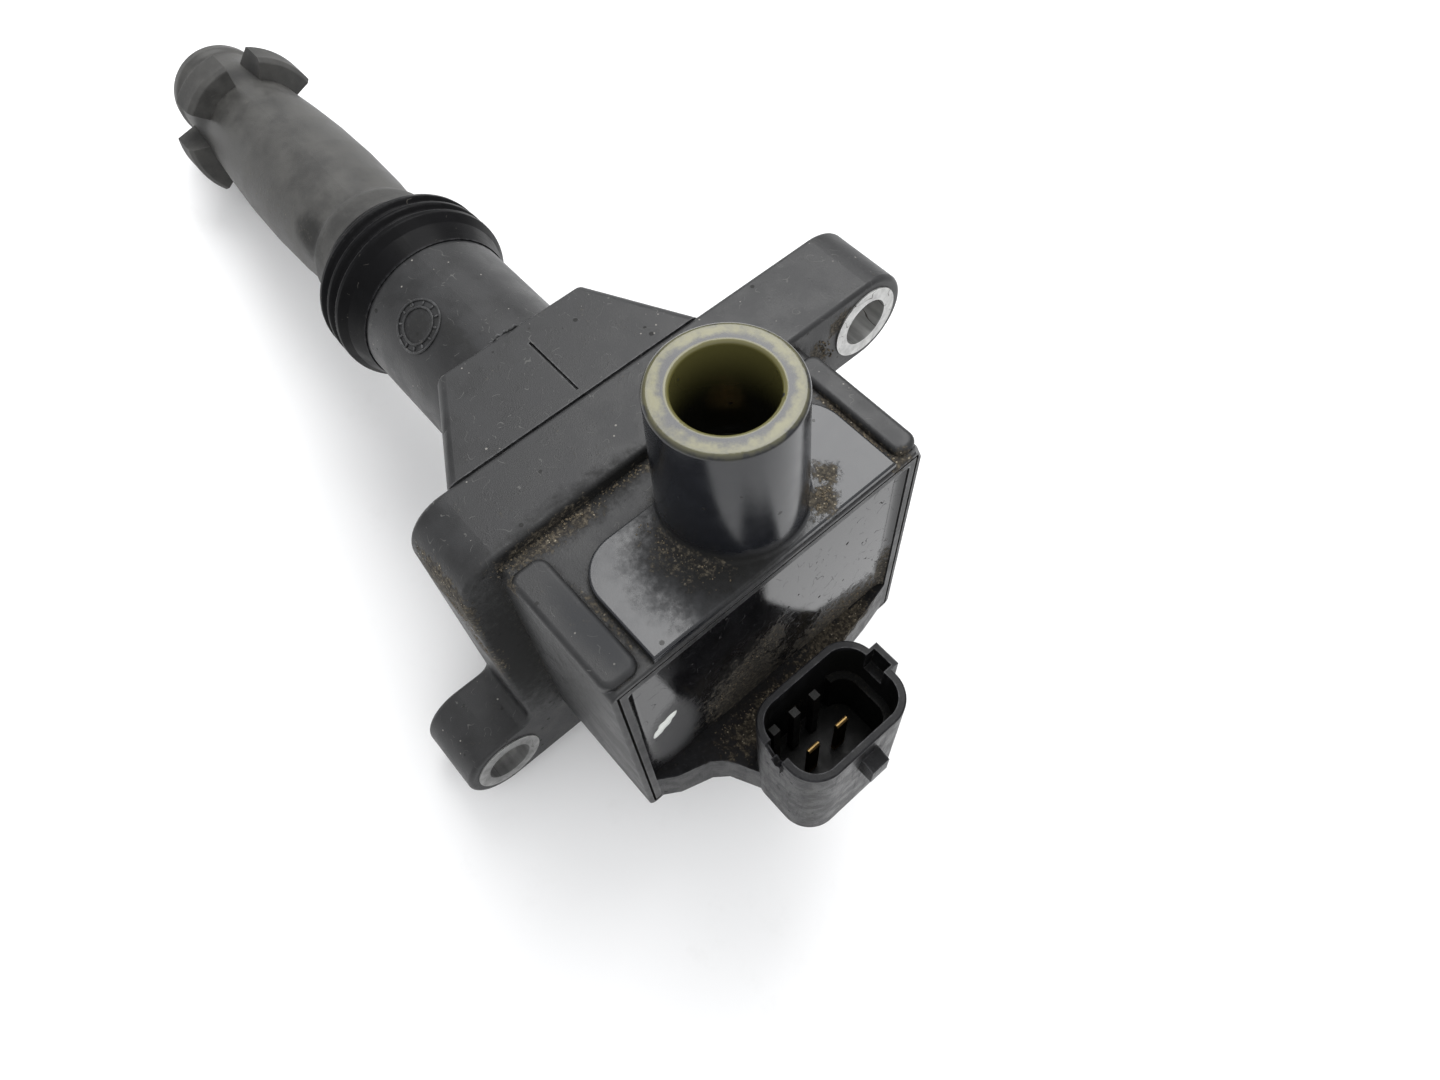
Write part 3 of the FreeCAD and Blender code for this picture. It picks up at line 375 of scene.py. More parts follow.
DARK_SPECKS_PER_MM = 0.7
DARK_SPECK_SIZE = 0.24
PALE_SPECKS_PER_MM = 0.9
PALE_SPECK_SIZE = 0.13
CHALK_ROUGHNESS = 0.9
SHADE_AND_DIRT_FADE = 3.0
CORNER_FILM = 0.3
FILM_PER_M = 350.0
GRIT_LIFT = 0.12
GRIT_COVER = 0.35


@dataclass(frozen=True)
class Finish:
    """A worn, dusty moulded surface; every other finish starts from this one."""

    slot: str
    colour: Colour
    roughness: float = 0.5
    metallic: float = 0.0
    specular: float = 0.5
    mottle: float = 0.35
    mottle_per_mm: float = 0.25
    grain_per_mm: float = 6.0
    grain_depth: float = 0.02
    rough_spread: float = 0.12
    wear_and_sheen_colour: Colour = (0.16, 0.16, 0.165)
    wear_and_sheen: float = 0.5
    wear_and_sheen_radius: float = 0.35
    dust: float = 0.0
    dust_colour: Colour = DustShade.SAND.value
    pale_specks: float = 0.0
    dark_specks: float = 0.0
    hair_marks: float = 0.0
    hair_colour: Colour = (0.3, 0.3, 0.3)
    mark_dulling: float = 0.2
    corner_shade_and_dirt: float = 0.0
    shade_and_dirt_end_x: float = 200.0
    dirt_and_light_patches: tuple[DirtAndLightPatch, ...] = ()

    def build(self, effects: Effects) -> bpy.types.Material:
        """Make the material.

        Args:
            effects: The shared node groups.

        Returns:
            The finished material.
        """
        material = bpy.data.materials.new(self.slot)
        material.use_nodes = True
        material.node_tree.nodes.clear()
        sheet = NodeSheet(material.node_tree)
        place = sheet.add("TexCoord").outputs["Object"]
        place = self.placed(sheet, place)
        shader = sheet.add("BsdfPrincipled", {"Metallic": self.metallic,
                                              "Specular IOR Level": self.specular})
        grain = self.use(sheet, effects.grain, place, {"Grain per mm": self.grain_per_mm,
                                                       "Mottle per mm": self.mottle_per_mm})
        lit = tuple(c * (1.0 + self.mottle) for c in self.colour)
        dim = tuple(c * (1.0 - self.mottle) for c in self.colour)
        colour = sheet.blend(grain.outputs["Mottle"], dim, lit)
        rough = sheet.step(grain.outputs["Mottle"], 0.0, 1.0,
                           self.roughness - self.rough_spread / 2,
                           self.roughness + self.rough_spread / 2)
        height = sheet.math("MULTIPLY", grain.outputs["Height"], self.grain_depth * MM)
        # Edge colour: rubbed wear, and painted highlights on edges and crests.
        if self.wear_and_sheen > 0:
            wear_and_sheen_mask = self.use(sheet, effects.wear_and_sheen, place, {"Radius": self.wear_and_sheen_radius * MM,
                                                         "Amount": self.wear_and_sheen})
            colour = sheet.blend(wear_and_sheen_mask.outputs["Mask"], colour, self.wear_and_sheen_colour)
        colour, rough, height = self.extra(sheet, place, (colour, rough, height))
        colour, rough = self.marked(sheet, effects, place, colour, rough)
        colour, rough, height = self.soiled(sheet, effects, (colour, rough, height))
        bump = sheet.add("Bump", {"Height": height, "Strength": 1.0, "Distance": 1.0})
        sheet.feed(shader.inputs["Base Color"], colour)
        sheet.feed(shader.inputs["Roughness"], rough)
        sheet.feed(shader.inputs["Normal"], bump.outputs["Normal"])
        sheet.add("OutputMaterial", {"Surface": shader.outputs["BSDF"]})
        return material

    def placed(self, sheet: NodeSheet, place: Socket) -> Socket:
        """Position the patterns are read at; a finish may stretch it."""
        return place

    def extra(self, sheet: NodeSheet, place: Socket, surface: Surface) -> Surface:
        """Chance for a finish to add what only it has to colour, roughness and height."""
        return surface

    @staticmethod
    def use(sheet: NodeSheet, group: bpy.types.NodeTree, place: Socket,
            values: dict[str, float | Vector | Socket]) -> bpy.types.Node:
        """Place a shared group in this material with its own values.

        Args:
            sheet: Nodes of the material.
            group: The shared effect.
            place: Position it is read at.
            values: Input name to value.

        Returns:
            The group's node.
        """
        node = sheet.add("Group")
        node.node_tree = group
        sheet.feed(node.inputs["Position"], place)
        for key, value in values.items():
            sheet.feed(node.inputs[key], value)
        return node

    def marked(self, sheet: NodeSheet, effects: Effects, place: Socket, colour: Socket,
               rough: Socket) -> tuple[Socket, Socket]:
        """Add specks and hair-like marks to the bare surface.

        Args:
            sheet: Nodes of the material.
            effects: The shared node groups.
            place: Position the marks are read at.
            colour: Colour so far.
            rough: Roughness so far.

        Returns:
            Colour and roughness with the marks.
        """
        marks = ((self.dark_specks, DARK_SPECKS_PER_MM, DARK_SPECK_SIZE, DustShade.SOOT_AND_SHADE.value),
                 (self.pale_specks, PALE_SPECKS_PER_MM, PALE_SPECK_SIZE, DustShade.PALE.value))
        for share, per_mm, size, tint in marks:
            if share > 0:
                spots = self.use(sheet, effects.specks, place,
                                 {"Per mm": per_mm, "Size": size, "Share": share})
                colour = sheet.blend(spots.outputs["Mask"], colour, tint)
                rough = sheet.math("ADD", rough, sheet.math("MULTIPLY", spots.outputs["Mask"],
                                                            self.mark_dulling))
        if self.hair_marks > 0:
            hairs = self.use(sheet, effects.hairs, place, {"Share": self.hair_marks})
            colour = sheet.blend(hairs.outputs["Mask"], colour, self.hair_colour)
            rough = sheet.math("ADD", rough,
                               sheet.math("MULTIPLY", hairs.outputs["Mask"],
                                          self.mark_dulling))
        return colour, rough

    def soiled(self, sheet: NodeSheet, effects: Effects, surface: Surface) -> Surface:
        """Lay the painted corner shade, the dust film and the patches of dirt and painted light
        over the surface.

        Args:
            sheet: Nodes of the material.
            effects: The shared node groups.
            surface: Colour, roughness and height so far.

        Returns:
            Colour, roughness and height with the dirt and the painted light.
        """
        colour, rough, height = surface
        raw = sheet.add("TexCoord").outputs["Object"]
        mask = None
        # Painted shade: inside corners blackened from the occlusion mask, fading out along +X at
        # the given end, with a little dust film laid over it.
        if self.corner_shade_and_dirt > 0:
            nook = self.use(sheet, effects.corner, raw, {})
            along = sheet.add("SeparateXYZ", {"Vector": raw}).outputs["X"]
            reached = sheet.step(along, (self.shade_and_dirt_end_x - SHADE_AND_DIRT_FADE) * MM, self.shade_and_dirt_end_x * MM,
                                 self.corner_shade_and_dirt, 0.1 * self.corner_shade_and_dirt)
            painted_corner_shade = sheet.math("MULTIPLY", nook.outputs["Mask"], reached)
            colour = sheet.blend(painted_corner_shade, colour, DustShade.SOOT_AND_SHADE.value)
            rough = self.dulled(sheet, painted_corner_shade, rough)
            mask = sheet.math("MULTIPLY", painted_corner_shade, CORNER_FILM)
        if self.dust > 0:
            film = sheet.step(sheet.noise(raw, FILM_PER_M, 8.0, 0.7), 0.45, 0.72, 0.0, self.dust)
            mask = film if mask is None else sheet.math("MAXIMUM", mask, film)
        for dirt_and_light_patch in self.dirt_and_light_patches:
            patch = self.use(sheet, effects.patch, raw, {
                "Centre": mm(*dirt_and_light_patch.centre), "Reach": mm(*dirt_and_light_patch.reach),
                "Ragged": dirt_and_light_patch.ragged})
            part = sheet.math("MULTIPLY", patch.outputs["Mask"], dirt_and_light_patch.strength)
            # A coloured patch is laid flat: real staining, or painted shade or reflection where
            # the lists mark it so.
            if dirt_and_light_patch.stain_and_painted_light:
                colour = sheet.blend(part, colour, dirt_and_light_patch.stain_and_painted_light)
                rough = self.dulled(sheet, part, rough)
            else:
                mask = part if mask is None else sheet.math("MAXIMUM", mask, part)
        if mask is None:
            return colour, rough, height
        grit = self.use(sheet, effects.grit, raw, {})
        soil = sheet.blend(grit.outputs["Tone"], DustShade.SOIL.value, self.dust_colour)
        soil = sheet.blend(grit.outputs["Fleck"], soil, DustShade.CHAFF.value)
        sprinkled = sheet.math("MULTIPLY", grit.outputs["Tone"], GRIT_COVER)
        cover = sheet.step(sheet.math("ADD", mask, sprinkled), GRIT_COVER, 0.85)
        cover = sheet.math("MULTIPLY", cover, sheet.step(mask, 0.0, 0.12))
        colour = sheet.blend(cover, colour, soil)
        rough = self.dulled(sheet, cover, rough)
        lump = sheet.math("MULTIPLY", sheet.math("MULTIPLY", grit.outputs["Height"], mask),
                          GRIT_LIFT * MM)
        return colour, rough, sheet.math("ADD", height, lump)

    @staticmethod
    def dulled(sheet: NodeSheet, cover: Socket, rough: Socket) -> Socket:
        """Roughness raised towards chalk under dirt and under painted shade."""
        left = sheet.math("MULTIPLY", rough, sheet.math("SUBTRACT", 1.0, cover))
        return sheet.math("ADD", left, sheet.math("MULTIPLY", cover, CHALK_ROUGHNESS))


@dataclass(frozen=True)
class TowerFinish(Finish):
    """Smooth outlet tower with a yellowed rim, olive staining down its bore and painted shade
    deeper in.
    """

    cream: Colour = (0.150, 0.140, 0.055)
    olive: Colour = (0.105, 0.097, 0.032)
    bore_shade: Colour = (0.010, 0.010, 0.006)
    axis_x: float = -22.5
    axis_y: float = -6.5
    bore_r: float = 6.05
    ring_r: tuple[float, float] = (6.9, 8.1)
    rim_z: float = 30.1
    deep_z: float = 21.0

    def extra(self, sheet: NodeSheet, place: Socket, surface: Surface) -> Surface:
        """Yellow the outer part of the rim, colour the bore olive and paint shade towards its
        bottom.

        Args:
            sheet: Nodes of the material.
            place: Position the patterns are read at.
            surface: Colour, roughness and height so far.

        Returns:
            Colour, roughness and height with the stains.
        """
        colour, rough, height = surface
        parts = sheet.add("SeparateXYZ", {"Vector": place})
        tall = parts.outputs["Z"]
        dx = sheet.math("SUBTRACT", parts.outputs["X"], self.axis_x * MM)
        dy = sheet.math("SUBTRACT", parts.outputs["Y"], self.axis_y * MM)
        radius = sheet.math("SQRT", sheet.math("ADD", sheet.math("POWER", dx, 2.0),
                                               sheet.math("POWER", dy, 2.0)))
        blotch = sheet.noise(place, 330.0, 5.0, 0.65)
        wander = sheet.math("MULTIPLY", sheet.math("SUBTRACT", blotch, 0.5), 2.4 * MM)
        near = sheet.math("ADD", radius, wander)
        inner, outer = self.ring_r
        ring = sheet.math("MULTIPLY", sheet.step(near, (inner - 0.5) * MM, (inner + 0.4) * MM),
                          sheet.step(near, (outer - 0.5) * MM, (outer + 0.45) * MM, 1.0, 0.0))
        ring = sheet.math("MULTIPLY", ring,
                          sheet.step(tall, (self.rim_z - 0.5) * MM, self.rim_z * MM))
        ring = sheet.math("MULTIPLY", ring, sheet.step(blotch, 0.3, 0.6, 0.25, 0.9))
        colour = sheet.blend(ring, colour, self.cream)
        inside = sheet.step(radius, self.bore_r * MM, (self.bore_r + 0.2) * MM, 1.0, 0.0)
        inside = sheet.math("MULTIPLY", inside, sheet.step(tall, 11.0 * MM, 12.5 * MM))
        # Painted shade: the bore's colour goes from olive near the rim to near-black deeper down.
        depth = sheet.step(tall, self.deep_z * MM, self.rim_z * MM)
        stained_and_shaded = sheet.blend(inside, colour, sheet.blend(depth, self.bore_shade, self.olive))
        return stained_and_shaded, rough, height


@dataclass(frozen=True)
class ShellFinish(Finish):
    """Connector moulding with scuffs running down its walls and shade painted black inside its
    mouth.
    """

    scuff: Colour = (0.035, 0.035, 0.037)
    scuff_share: float = 0.45
    mouth_centre: Point = (-44.4, -2.4, -20.0)
    mouth_half: Point = (5.5, 8.2, 10.6)

    def extra(self, sheet: NodeSheet, place: Socket, surface: Surface) -> Surface:
        """Paint shade into the mouth as black and draw the scuffs, thin across the wall and long
        down it.

        Args:
            sheet: Nodes of the material.
            place: Position the patterns are read at.
            surface: Colour, roughness and height so far.

        Returns:
            Colour, roughness and height with the scuffs.
        """
        colour, rough, height = surface
        away = sheet.add("VectorMath", {0: place, 1: mm(*self.mouth_centre)},
                         operation="SUBTRACT")
        reach = sheet.add("VectorMath", {0: away.outputs[0]}, operation="ABSOLUTE")
        parts = sheet.add("SeparateXYZ", {"Vector": reach.outputs[0]})
        inside = None
        for axis, half in zip("XYZ", self.mouth_half):
            part = sheet.step(parts.outputs[axis], (half - 0.2) * MM, half * MM, 1.0, 0.0)
            inside = part if inside is None else sheet.math("MULTIPLY", inside, part)
        # Painted shade: the box of the mouth is filled with black.
        colour = sheet.blend(inside, colour, BLACK)
        drawn = sheet.add("Mapping", {"Vector": place, "Scale": (1.0, 1.0, 0.12)})
        streak = sheet.noise(drawn.outputs["Vector"], 1700.0, 4.0, 0.7)
        mask = sheet.math("MULTIPLY", sheet.step(streak, 0.52, 0.72, 0.0, self.scuff_share),
                          sheet.math("SUBTRACT", 1.0, inside))
        rough = sheet.math("ADD", rough, sheet.math("MULTIPLY", mask, 0.3))
        lift = sheet.math("MULTIPLY", streak, 0.012 * MM)
        return sheet.blend(mask, colour, self.scuff), rough, sheet.math("ADD", height, lift)


@dataclass(frozen=True)
class RibbedMetal(Finish):
    """Turned or drawn metal, its marks running round or along it."""

    stretch: Point = (0.15, 1.0, 1.0)

    def placed(self, sheet: NodeSheet, place: Socket) -> Socket:
        """Stretch the patterns along one direction."""
        node = sheet.add("Mapping", {"Vector": place, "Scale": self.stretch})
        return node.outputs["Vector"]


# Near black: soot in specks, and the colour of painted shade in patches and in the connector's
# mouth.
BLACK = DustShade.SOOT_AND_SHADE.value
# Dust and flat patches on the housing; the near-black ones on the flange's rear face, the body's
# left side and beside the upper ear are painted shade.
FLANGE_DUST_AND_SHADE = (
    # Painted shade on the flange's rear face and the body's left side beside it.
    DirtAndLightPatch((-11.8, 22.0, -10.0), (4.5, 5.0, 24.0), 0.25, 0.8, BLACK),
    # Painted shade, with some dirt, at the foot of the flange's rear face.
    DirtAndLightPatch((-11.6, 8.0, 10.2), (3.4, 17.0, 2.4), 0.3, 0.8, BLACK),
    # Painted shade beside the upper ear.
    DirtAndLightPatch((-14.0, -29.5, 0.0), (6.0, 4.0, 9.0), 0.3, 0.7, BLACK),
    DirtAndLightPatch((-7.0, 25.2, 4.0), (9.0, 2.6, 11.0), 0.35, 1.0),
    DirtAndLightPatch((-9.0, 24.6, -10.0), (5.0, 2.0, 8.0), 0.5, 0.6),
    DirtAndLightPatch((-12.4, 12.0, 10.0), (2.4, 12.0, 1.8), 0.5, 0.7),
    DirtAndLightPatch((-12.4, -8.0, 10.0), (1.8, 14.0, 1.6), 0.5, 0.6),
    DirtAndLightPatch((-14.4, 19.5, 9.4), (2.4, 2.2, 1.6), 0.4, 0.8),
    DirtAndLightPatch((-24.0, -23.9, 9.6), (9.0, 0.9, 0.9), 0.4, 0.9),
    DirtAndLightPatch((-31.5, -24.5, 9.2), (1.8, 3.0, 1.6), 0.5, 0.9),
    DirtAndLightPatch((-24.0, 13.8, 9.6), (9.0, 0.7, 0.7), 0.4, 0.5),
    DirtAndLightPatch((-12.0, -30.5, 4.0), (2.4, 3.0, 4.5), 0.5, 0.9),
    DirtAndLightPatch((-11.6, -35.0, 8.0), (0.8, 3.0, 3.0), 0.5, 0.8),
    DirtAndLightPatch((25.1, 6.3, 9.6), (3.4, 3.4, 3.4), 0.5, 0.6, BLACK),
    # Painted shade darkening the body's left side.
    DirtAndLightPatch((-21.0, 17.2, -12.0), (17.0, 2.4, 20.0), 0.3, 0.55, BLACK),
    DirtAndLightPatch((-25.0, 16.0, 10.6), (9.0, 2.4, 1.4), 0.15, 0.5, (0.026, 0.028, 0.032)),
    DirtAndLightPatch((19.0, 4.0, 10.8), (5.0, 1.6, 1.6), 0.6, 0.5, BLACK),
)
PANEL_DUST_AND_SHADE = (
    # Dark grime round the tower's foot, also standing in for the tower's dark reflection and
    # shade on the panel.
    DirtAndLightPatch((-26.0, -1.0, 10.6), (12.5, 12.0, 2.6), 0.2, 0.95, BLACK),
    DirtAndLightPatch((-24.5, 1.5, 10.6), (7.5, 6.0, 1.4), 0.5, 0.42),
    DirtAndLightPatch((-30.2, -13.4, 10.8), (2.6, 3.0, 2.6), 0.4, 0.95),
    DirtAndLightPatch((-27.8, -16.4, 10.5), (2.4, 2.0, 1.4), 0.45, 0.8),
    DirtAndLightPatch((-17.4, -6.0, 10.4), (1.4, 7.0, 1.2), 0.5, 0.7),
)
RESIN_DUST_AND_REFLECTION = (
    DirtAndLightPatch((-31.6, -18.0, -25.5), (4.0, 12.0, 9.5), 0.22, 0.9, (0.014, 0.012, 0.010)),
    DirtAndLightPatch((-31.6, 0.5, -20.0), (4.0, 9.5, 16.0), 0.22, 0.8, (0.010, 0.009, 0.008)),
    DirtAndLightPatch((-31.6, -16.5, -25.0), (4.0, 13.0, 8.5), 0.45, 1.0),
    DirtAndLightPatch((-31.6, 0.5, -19.0), (4.0, 10.0, 11.0), 0.5, 0.8),
    DirtAndLightPatch((-31.6, -4.5, -13.0), (4.0, 4.0, 7.0), 0.5, 0.6),
    DirtAndLightPatch((-31.9, -25.5, -20.0), (4.0, 2.0, 9.0), 0.4, 0.8),
    # Painted reflection: the grey film stands for the shaded table mirrored in the glossy
    # potting.
    DirtAndLightPatch((-31.6, 12.6, -16.0), (4.0, 5.2, 12.0), 0.1, 0.85, (0.070, 0.070, 0.072)),
)
CONNECTOR_DUST = (
    DirtAndLightPatch((-35.5, -2.0, -24.4), (5.0, 15.0, 1.6), 0.35, 0.9, (0.012, 0.010, 0.009)),
    DirtAndLightPatch((-36.0, -2.0, -24.0), (4.5, 14.0, 3.0), 0.45, 0.8),
    DirtAndLightPatch((-33.5, -15.5, -24.4), (3.5, 10.0, 2.4), 0.5, 1.0),
    DirtAndLightPatch((-38.3, -2.4, -19.0), (1.0, 8.0, 6.0), 0.5, 0.6),
)
# Painted shade: the left ear's bush darkened where it sits out of the light, and the right bush
# darkened down its bore.
BUSH_SHADE = (
    DirtAndLightPatch((-11.0, 30.6, -38.0), (3.0, 9.0, 9.0), 0.08, 0.75, (0.13, 0.13, 0.13)),
    DirtAndLightPatch((-3.0, 30.6, -38.0), (8.2, 4.2, 4.2), 0.08, 0.9, (0.030, 0.026, 0.022)),
    DirtAndLightPatch((-3.0, -39.7, 4.7), (8.2, 4.2, 4.2), 0.1, 0.85, (0.020, 0.020, 0.020)),
)
# Dark bands round the boot's waist and round its lobes, a dark patch beside the waist, and a
# strip of dust.
BOOT_DARKENING_AND_DUST = (
    DirtAndLightPatch((49.6, 0.0, 0.0), (4.6, 14.0, 14.0), 0.12, 0.75, BLACK),
    DirtAndLightPatch((54.0, 7.0, 5.5), (5.0, 4.0, 4.0), 0.15, 0.8, BLACK),
    DirtAndLightPatch((91.5, 0.0, 0.0), (4.6, 20.0, 20.0), 0.12, 0.6, (0.012, 0.012, 0.012)),
    DirtAndLightPatch((64.0, 7.5, 5.0), (16.0, 3.0, 5.0), 0.6, 0.25),
)

FINISHES: tuple[Finish, ...] = (
    Finish("housing_plastic", (0.0135, 0.0137, 0.0145), 0.46, specular=0.44, mottle=0.4,
           wear_and_sheen=0.6, dust=0.24, pale_specks=0.34, dark_specks=0.12, hair_marks=0.44,
           hair_colour=(0.075, 0.075, 0.072), corner_shade_and_dirt=0.95, shade_and_dirt_end_x=-3.0,
           dirt_and_light_patches=FLANGE_DUST_AND_SHADE),
    TowerFinish("tower_plastic", (0.010, 0.011, 0.014), 0.20, mottle=0.15, wear_and_sheen=0.2,
                dust=0.0, dark_specks=0.10, rough_spread=0.06, grain_depth=0.004,
                corner_shade_and_dirt=0.5, dirt_and_light_patches=PANEL_DUST_AND_SHADE),
    ShellFinish("connector_plastic", (0.007, 0.007, 0.008), 0.38, specular=0.16, mottle=0.4,
                wear_and_sheen=0.9, wear_and_sheen_colour=(0.08, 0.08, 0.084), mottle_per_mm=0.5, dust=0.0,
                dark_specks=0.15, corner_shade_and_dirt=0.6, dirt_and_light_patches=CONNECTOR_DUST),
    RibbedMetal("bush_steel", (0.50, 0.50, 0.49), 0.45, metallic=0.75, mottle=0.25,
                mottle_per_mm=0.7, wear_and_sheen_colour=(0.8, 0.8, 0.79), wear_and_sheen=0.6,
                dark_specks=0.45, hair_marks=0.5, hair_colour=(0.14, 0.13, 0.12),
                grain_depth=0.02, dust=0.0, dirt_and_light_patches=BUSH_SHADE),
    Finish("terminal_gold", (0.50, 0.33, 0.13), 0.34, metallic=1.0, mottle=0.25,
           wear_and_sheen=0.2, wear_and_sheen_colour=(0.7, 0.52, 0.26),
           # Painted shade: the pins blacked out in bands deep inside the connector's mouth.
           dirt_and_light_patches=(DirtAndLightPatch((-44.8, -1.9, -22.0), (30.0, 30.0, 6.6), 0.03, 0.97, BLACK),
                     DirtAndLightPatch((-44.8, -1.9, -18.0), (30.0, 30.0, 1.9), 0.03, 0.97, BLACK))),
    RibbedMetal("brass", (0.62, 0.42, 0.17), 0.32, metallic=1.0, mottle=0.2, wear_and_sheen=0.3,
                wear_and_sheen_colour=(0.85, 0.66, 0.33)),
    RibbedMetal("copper", (0.55, 0.20, 0.08), 0.3, metallic=0.8, mottle=0.15, wear_and_sheen=0.0,
                stretch=(1.0, 9.0, 1.0)),
    RibbedMetal("core_steel", (0.22, 0.22, 0.23), 0.45, metallic=0.8, mottle=0.3, wear_and_sheen=0.4,
                stretch=(12.0, 0.4, 0.4)),
    Finish("magnet_ferrite", (0.05, 0.05, 0.055), 0.6, mottle=0.3),
    Finish("bobbin_plastic", (0.52, 0.48, 0.38), 0.5, mottle=0.12, wear_and_sheen=0.1),
    Finish("resin", (0.008, 0.008, 0.009), 0.10, mottle=0.3, wear_and_sheen=0.0, rough_spread=0.06,
           dark_specks=0.3, hair_marks=0.46, hair_colour=(0.004, 0.004, 0.004),
           mark_dulling=0.75, grain_depth=0.003, dirt_and_light_patches=RESIN_DUST_AND_REFLECTION),
    Finish("ceramic", (0.66, 0.63, 0.55), 0.7, mottle=0.08, wear_and_sheen=0.0),
    RibbedMetal("spring_steel", (0.55, 0.55, 0.56), 0.25, metallic=1.0, mottle=0.1, wear_and_sheen=0.0),
    Finish("boot_rubber", (0.045, 0.044, 0.041), 0.55, mottle=0.35, wear_and_sheen=0.25,
           wear_and_sheen_colour=(0.09, 0.088, 0.082), dust=0.2, dust_colour=(0.10, 0.092, 0.075),
           grain_depth=0.03, hair_marks=0.4, hair_colour=(0.07, 0.068, 0.062),
           dirt_and_light_patches=BOOT_DARKENING_AND_DUST),
    # Near-black base partly stands in for the shade inside the seal's skirt; the lighter rib
    # crests from the edge mask are painted highlights.
    Finish("seal_rubber", (0.0025, 0.0025, 0.003), 0.42, specular=0.08, mottle=0.3,
           wear_and_sheen=0.9, wear_and_sheen_colour=(0.040, 0.040, 0.042), wear_and_sheen_radius=0.6, dust=0.0,
           grain_depth=0.01, hair_marks=0.38, hair_colour=(0.05, 0.047, 0.042)),
    Finish("paint", (0.78, 0.80, 0.76), 0.45, mottle=0.05, wear_and_sheen=0.0, dark_specks=0.1),
    Finish("grains", (0.11, 0.088, 0.058), 0.85, mottle=0.8, mottle_per_mm=3.0, wear_and_sheen=0.0),
)


@dataclass
class Wardrobe:
    """Gives every piece the finish of its slot."""

    effects: Effects
    record: dict

    def __post_init__(self) -> None:
        """Build all the materials."""
        self.materials = {finish.slot: finish.build(self.effects) for finish in FINISHES}

    def dress(self, piece: bpy.types.Object, slot: str) -> None:
        """Give a piece one material.

        Args:
            piece: Object to dress.
            slot: Name of the finish.
        """
        data = piece.data
        if not data.materials:
            data.materials.append(self.materials[slot])
        for index in range(len(piece.material_slots)):
            piece.material_slots[index].material = self.materials[slot]

    def dress_nodes(self, nodes: dict[str, bpy.types.Object]) -> None:
        """Dress every node of the engineering model from its own slot.

        Args:
            nodes: Node name to its object.
        """
        for row in self.record["subparts"]:
            self.dress(nodes[row["node"]], row["material_slot"])
            LOG.info("%s wears %s", row["node"], row["material_slot"])


def new_mesh(name: str, mesh: bmesh.types.BMesh, smooth: bool = True) -> bpy.types.Object:
    """Turn a finished bmesh into an object in the scene.

    Args:
        name: Name of the piece.
        mesh: The geometry, freed here.
        smooth: Whether its faces shade smoothly.

    Returns:
        The new object.
    """
    bmesh.ops.recalc_face_normals(mesh, faces=mesh.faces)
    data = bpy.data.meshes.new(name)
    mesh.to_mesh(data)
    mesh.free()
    for face in data.polygons:
        face.use_smooth = smooth
    piece = bpy.data.objects.new(name, data)
    bpy.context.scene.collection.objects.link(piece)
    return piece


def swept_tube(name: str, path: list[Vector], radius: float, sides: int) -> bpy.types.Object:
    """Closed round tube along a path.

    Args:
        name: Name of the piece.
        path: Points of the centre line.
        radius: Tube radius in metres.
        sides: Number of sides of its section.

    Returns:
        The tube.
    """
    mesh = bmesh.new()
    rings = []
    for index, centre in enumerate(path):
        before = path[max(index - 1, 0)]
        after = path[min(index + 1, len(path) - 1)]
        along = (after - before).normalized()
        side = along.cross(Vector((0.3, 0.5, 0.8))).normalized()
        other = along.cross(side)
        ring = []
        for step in range(sides):
            turn = 2 * math.pi * step / sides
            ring.append(mesh.verts.new(centre + radius * (math.cos(turn) * side
                                                          + math.sin(turn) * other)))
        rings.append(ring)
    for first, second in zip(rings, rings[1:]):
        for step in range(sides):
            after = (step + 1) % sides
            mesh.faces.new((first[step], first[after], second[after], second[step]))
    mesh.faces.new(rings[0][::-1])
    mesh.faces.new(rings[-1])
    return new_mesh(name, mesh)


@dataclass
class ContactSpring:
    """Coil spring between the resistor's front cap and the contact cap."""

    start_x: float = 44.4
    end_x: float = 72.5
    mean_r: float = 2.9
    wire_r: float = 0.35
    turns: int = 12
    steps_per_turn: int = 20
    travel: float = 4.0

    def build(self, wardrobe: Wardrobe) -> bpy.types.Object:
        """Wind the spring between its two ends.

        Args:
            wardrobe: Gives the finish.

        Returns:
            The spring.
        """
        steps = self.turns * self.steps_per_turn
        run = self.end_x - self.start_x - 2 * self.wire_r
        path = []
        for step in range(steps + 1):
            share = step / steps
            turn = 2 * math.pi * self.turns * share
            path.append(mm(self.start_x + self.wire_r + run * share,
                           self.mean_r * math.cos(turn), self.mean_r * math.sin(turn)))
        spring = swept_tube("contact_spring_wire", path, self.wire_r * MM, 10)
        wardrobe.dress(spring, "spring_steel")
        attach(spring, BODY)
        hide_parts("contact_spring")
        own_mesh(spring)
        return spring


def closed_loft(name: str, rings: list[list[Vector]], joined: bool) -> bpy.types.Object:
    """Closed skin over a row of equal rings.

    Args:
        name: Name of the piece.
        rings: Point rings in order, each with the same number of points.
        joined: Whether the last ring meets the first; otherwise both ends are capped.

    Returns:
        The piece.
    """
    mesh = bmesh.new()
    rows = [[mesh.verts.new(point) for point in ring] for ring in rings]
    pairs = list(zip(rows, rows[1:]))
    if joined:
        pairs.append((rows[-1], rows[0]))
    count = len(rows[0])
    for first, second in pairs:
        for step in range(count):
            after = (step + 1) % count
            mesh.faces.new((first[step], first[after], second[after], second[step]))
    if not joined:
        mesh.faces.new(rows[0][::-1])
        mesh.faces.new(rows[-1])
    return new_mesh(name, mesh)


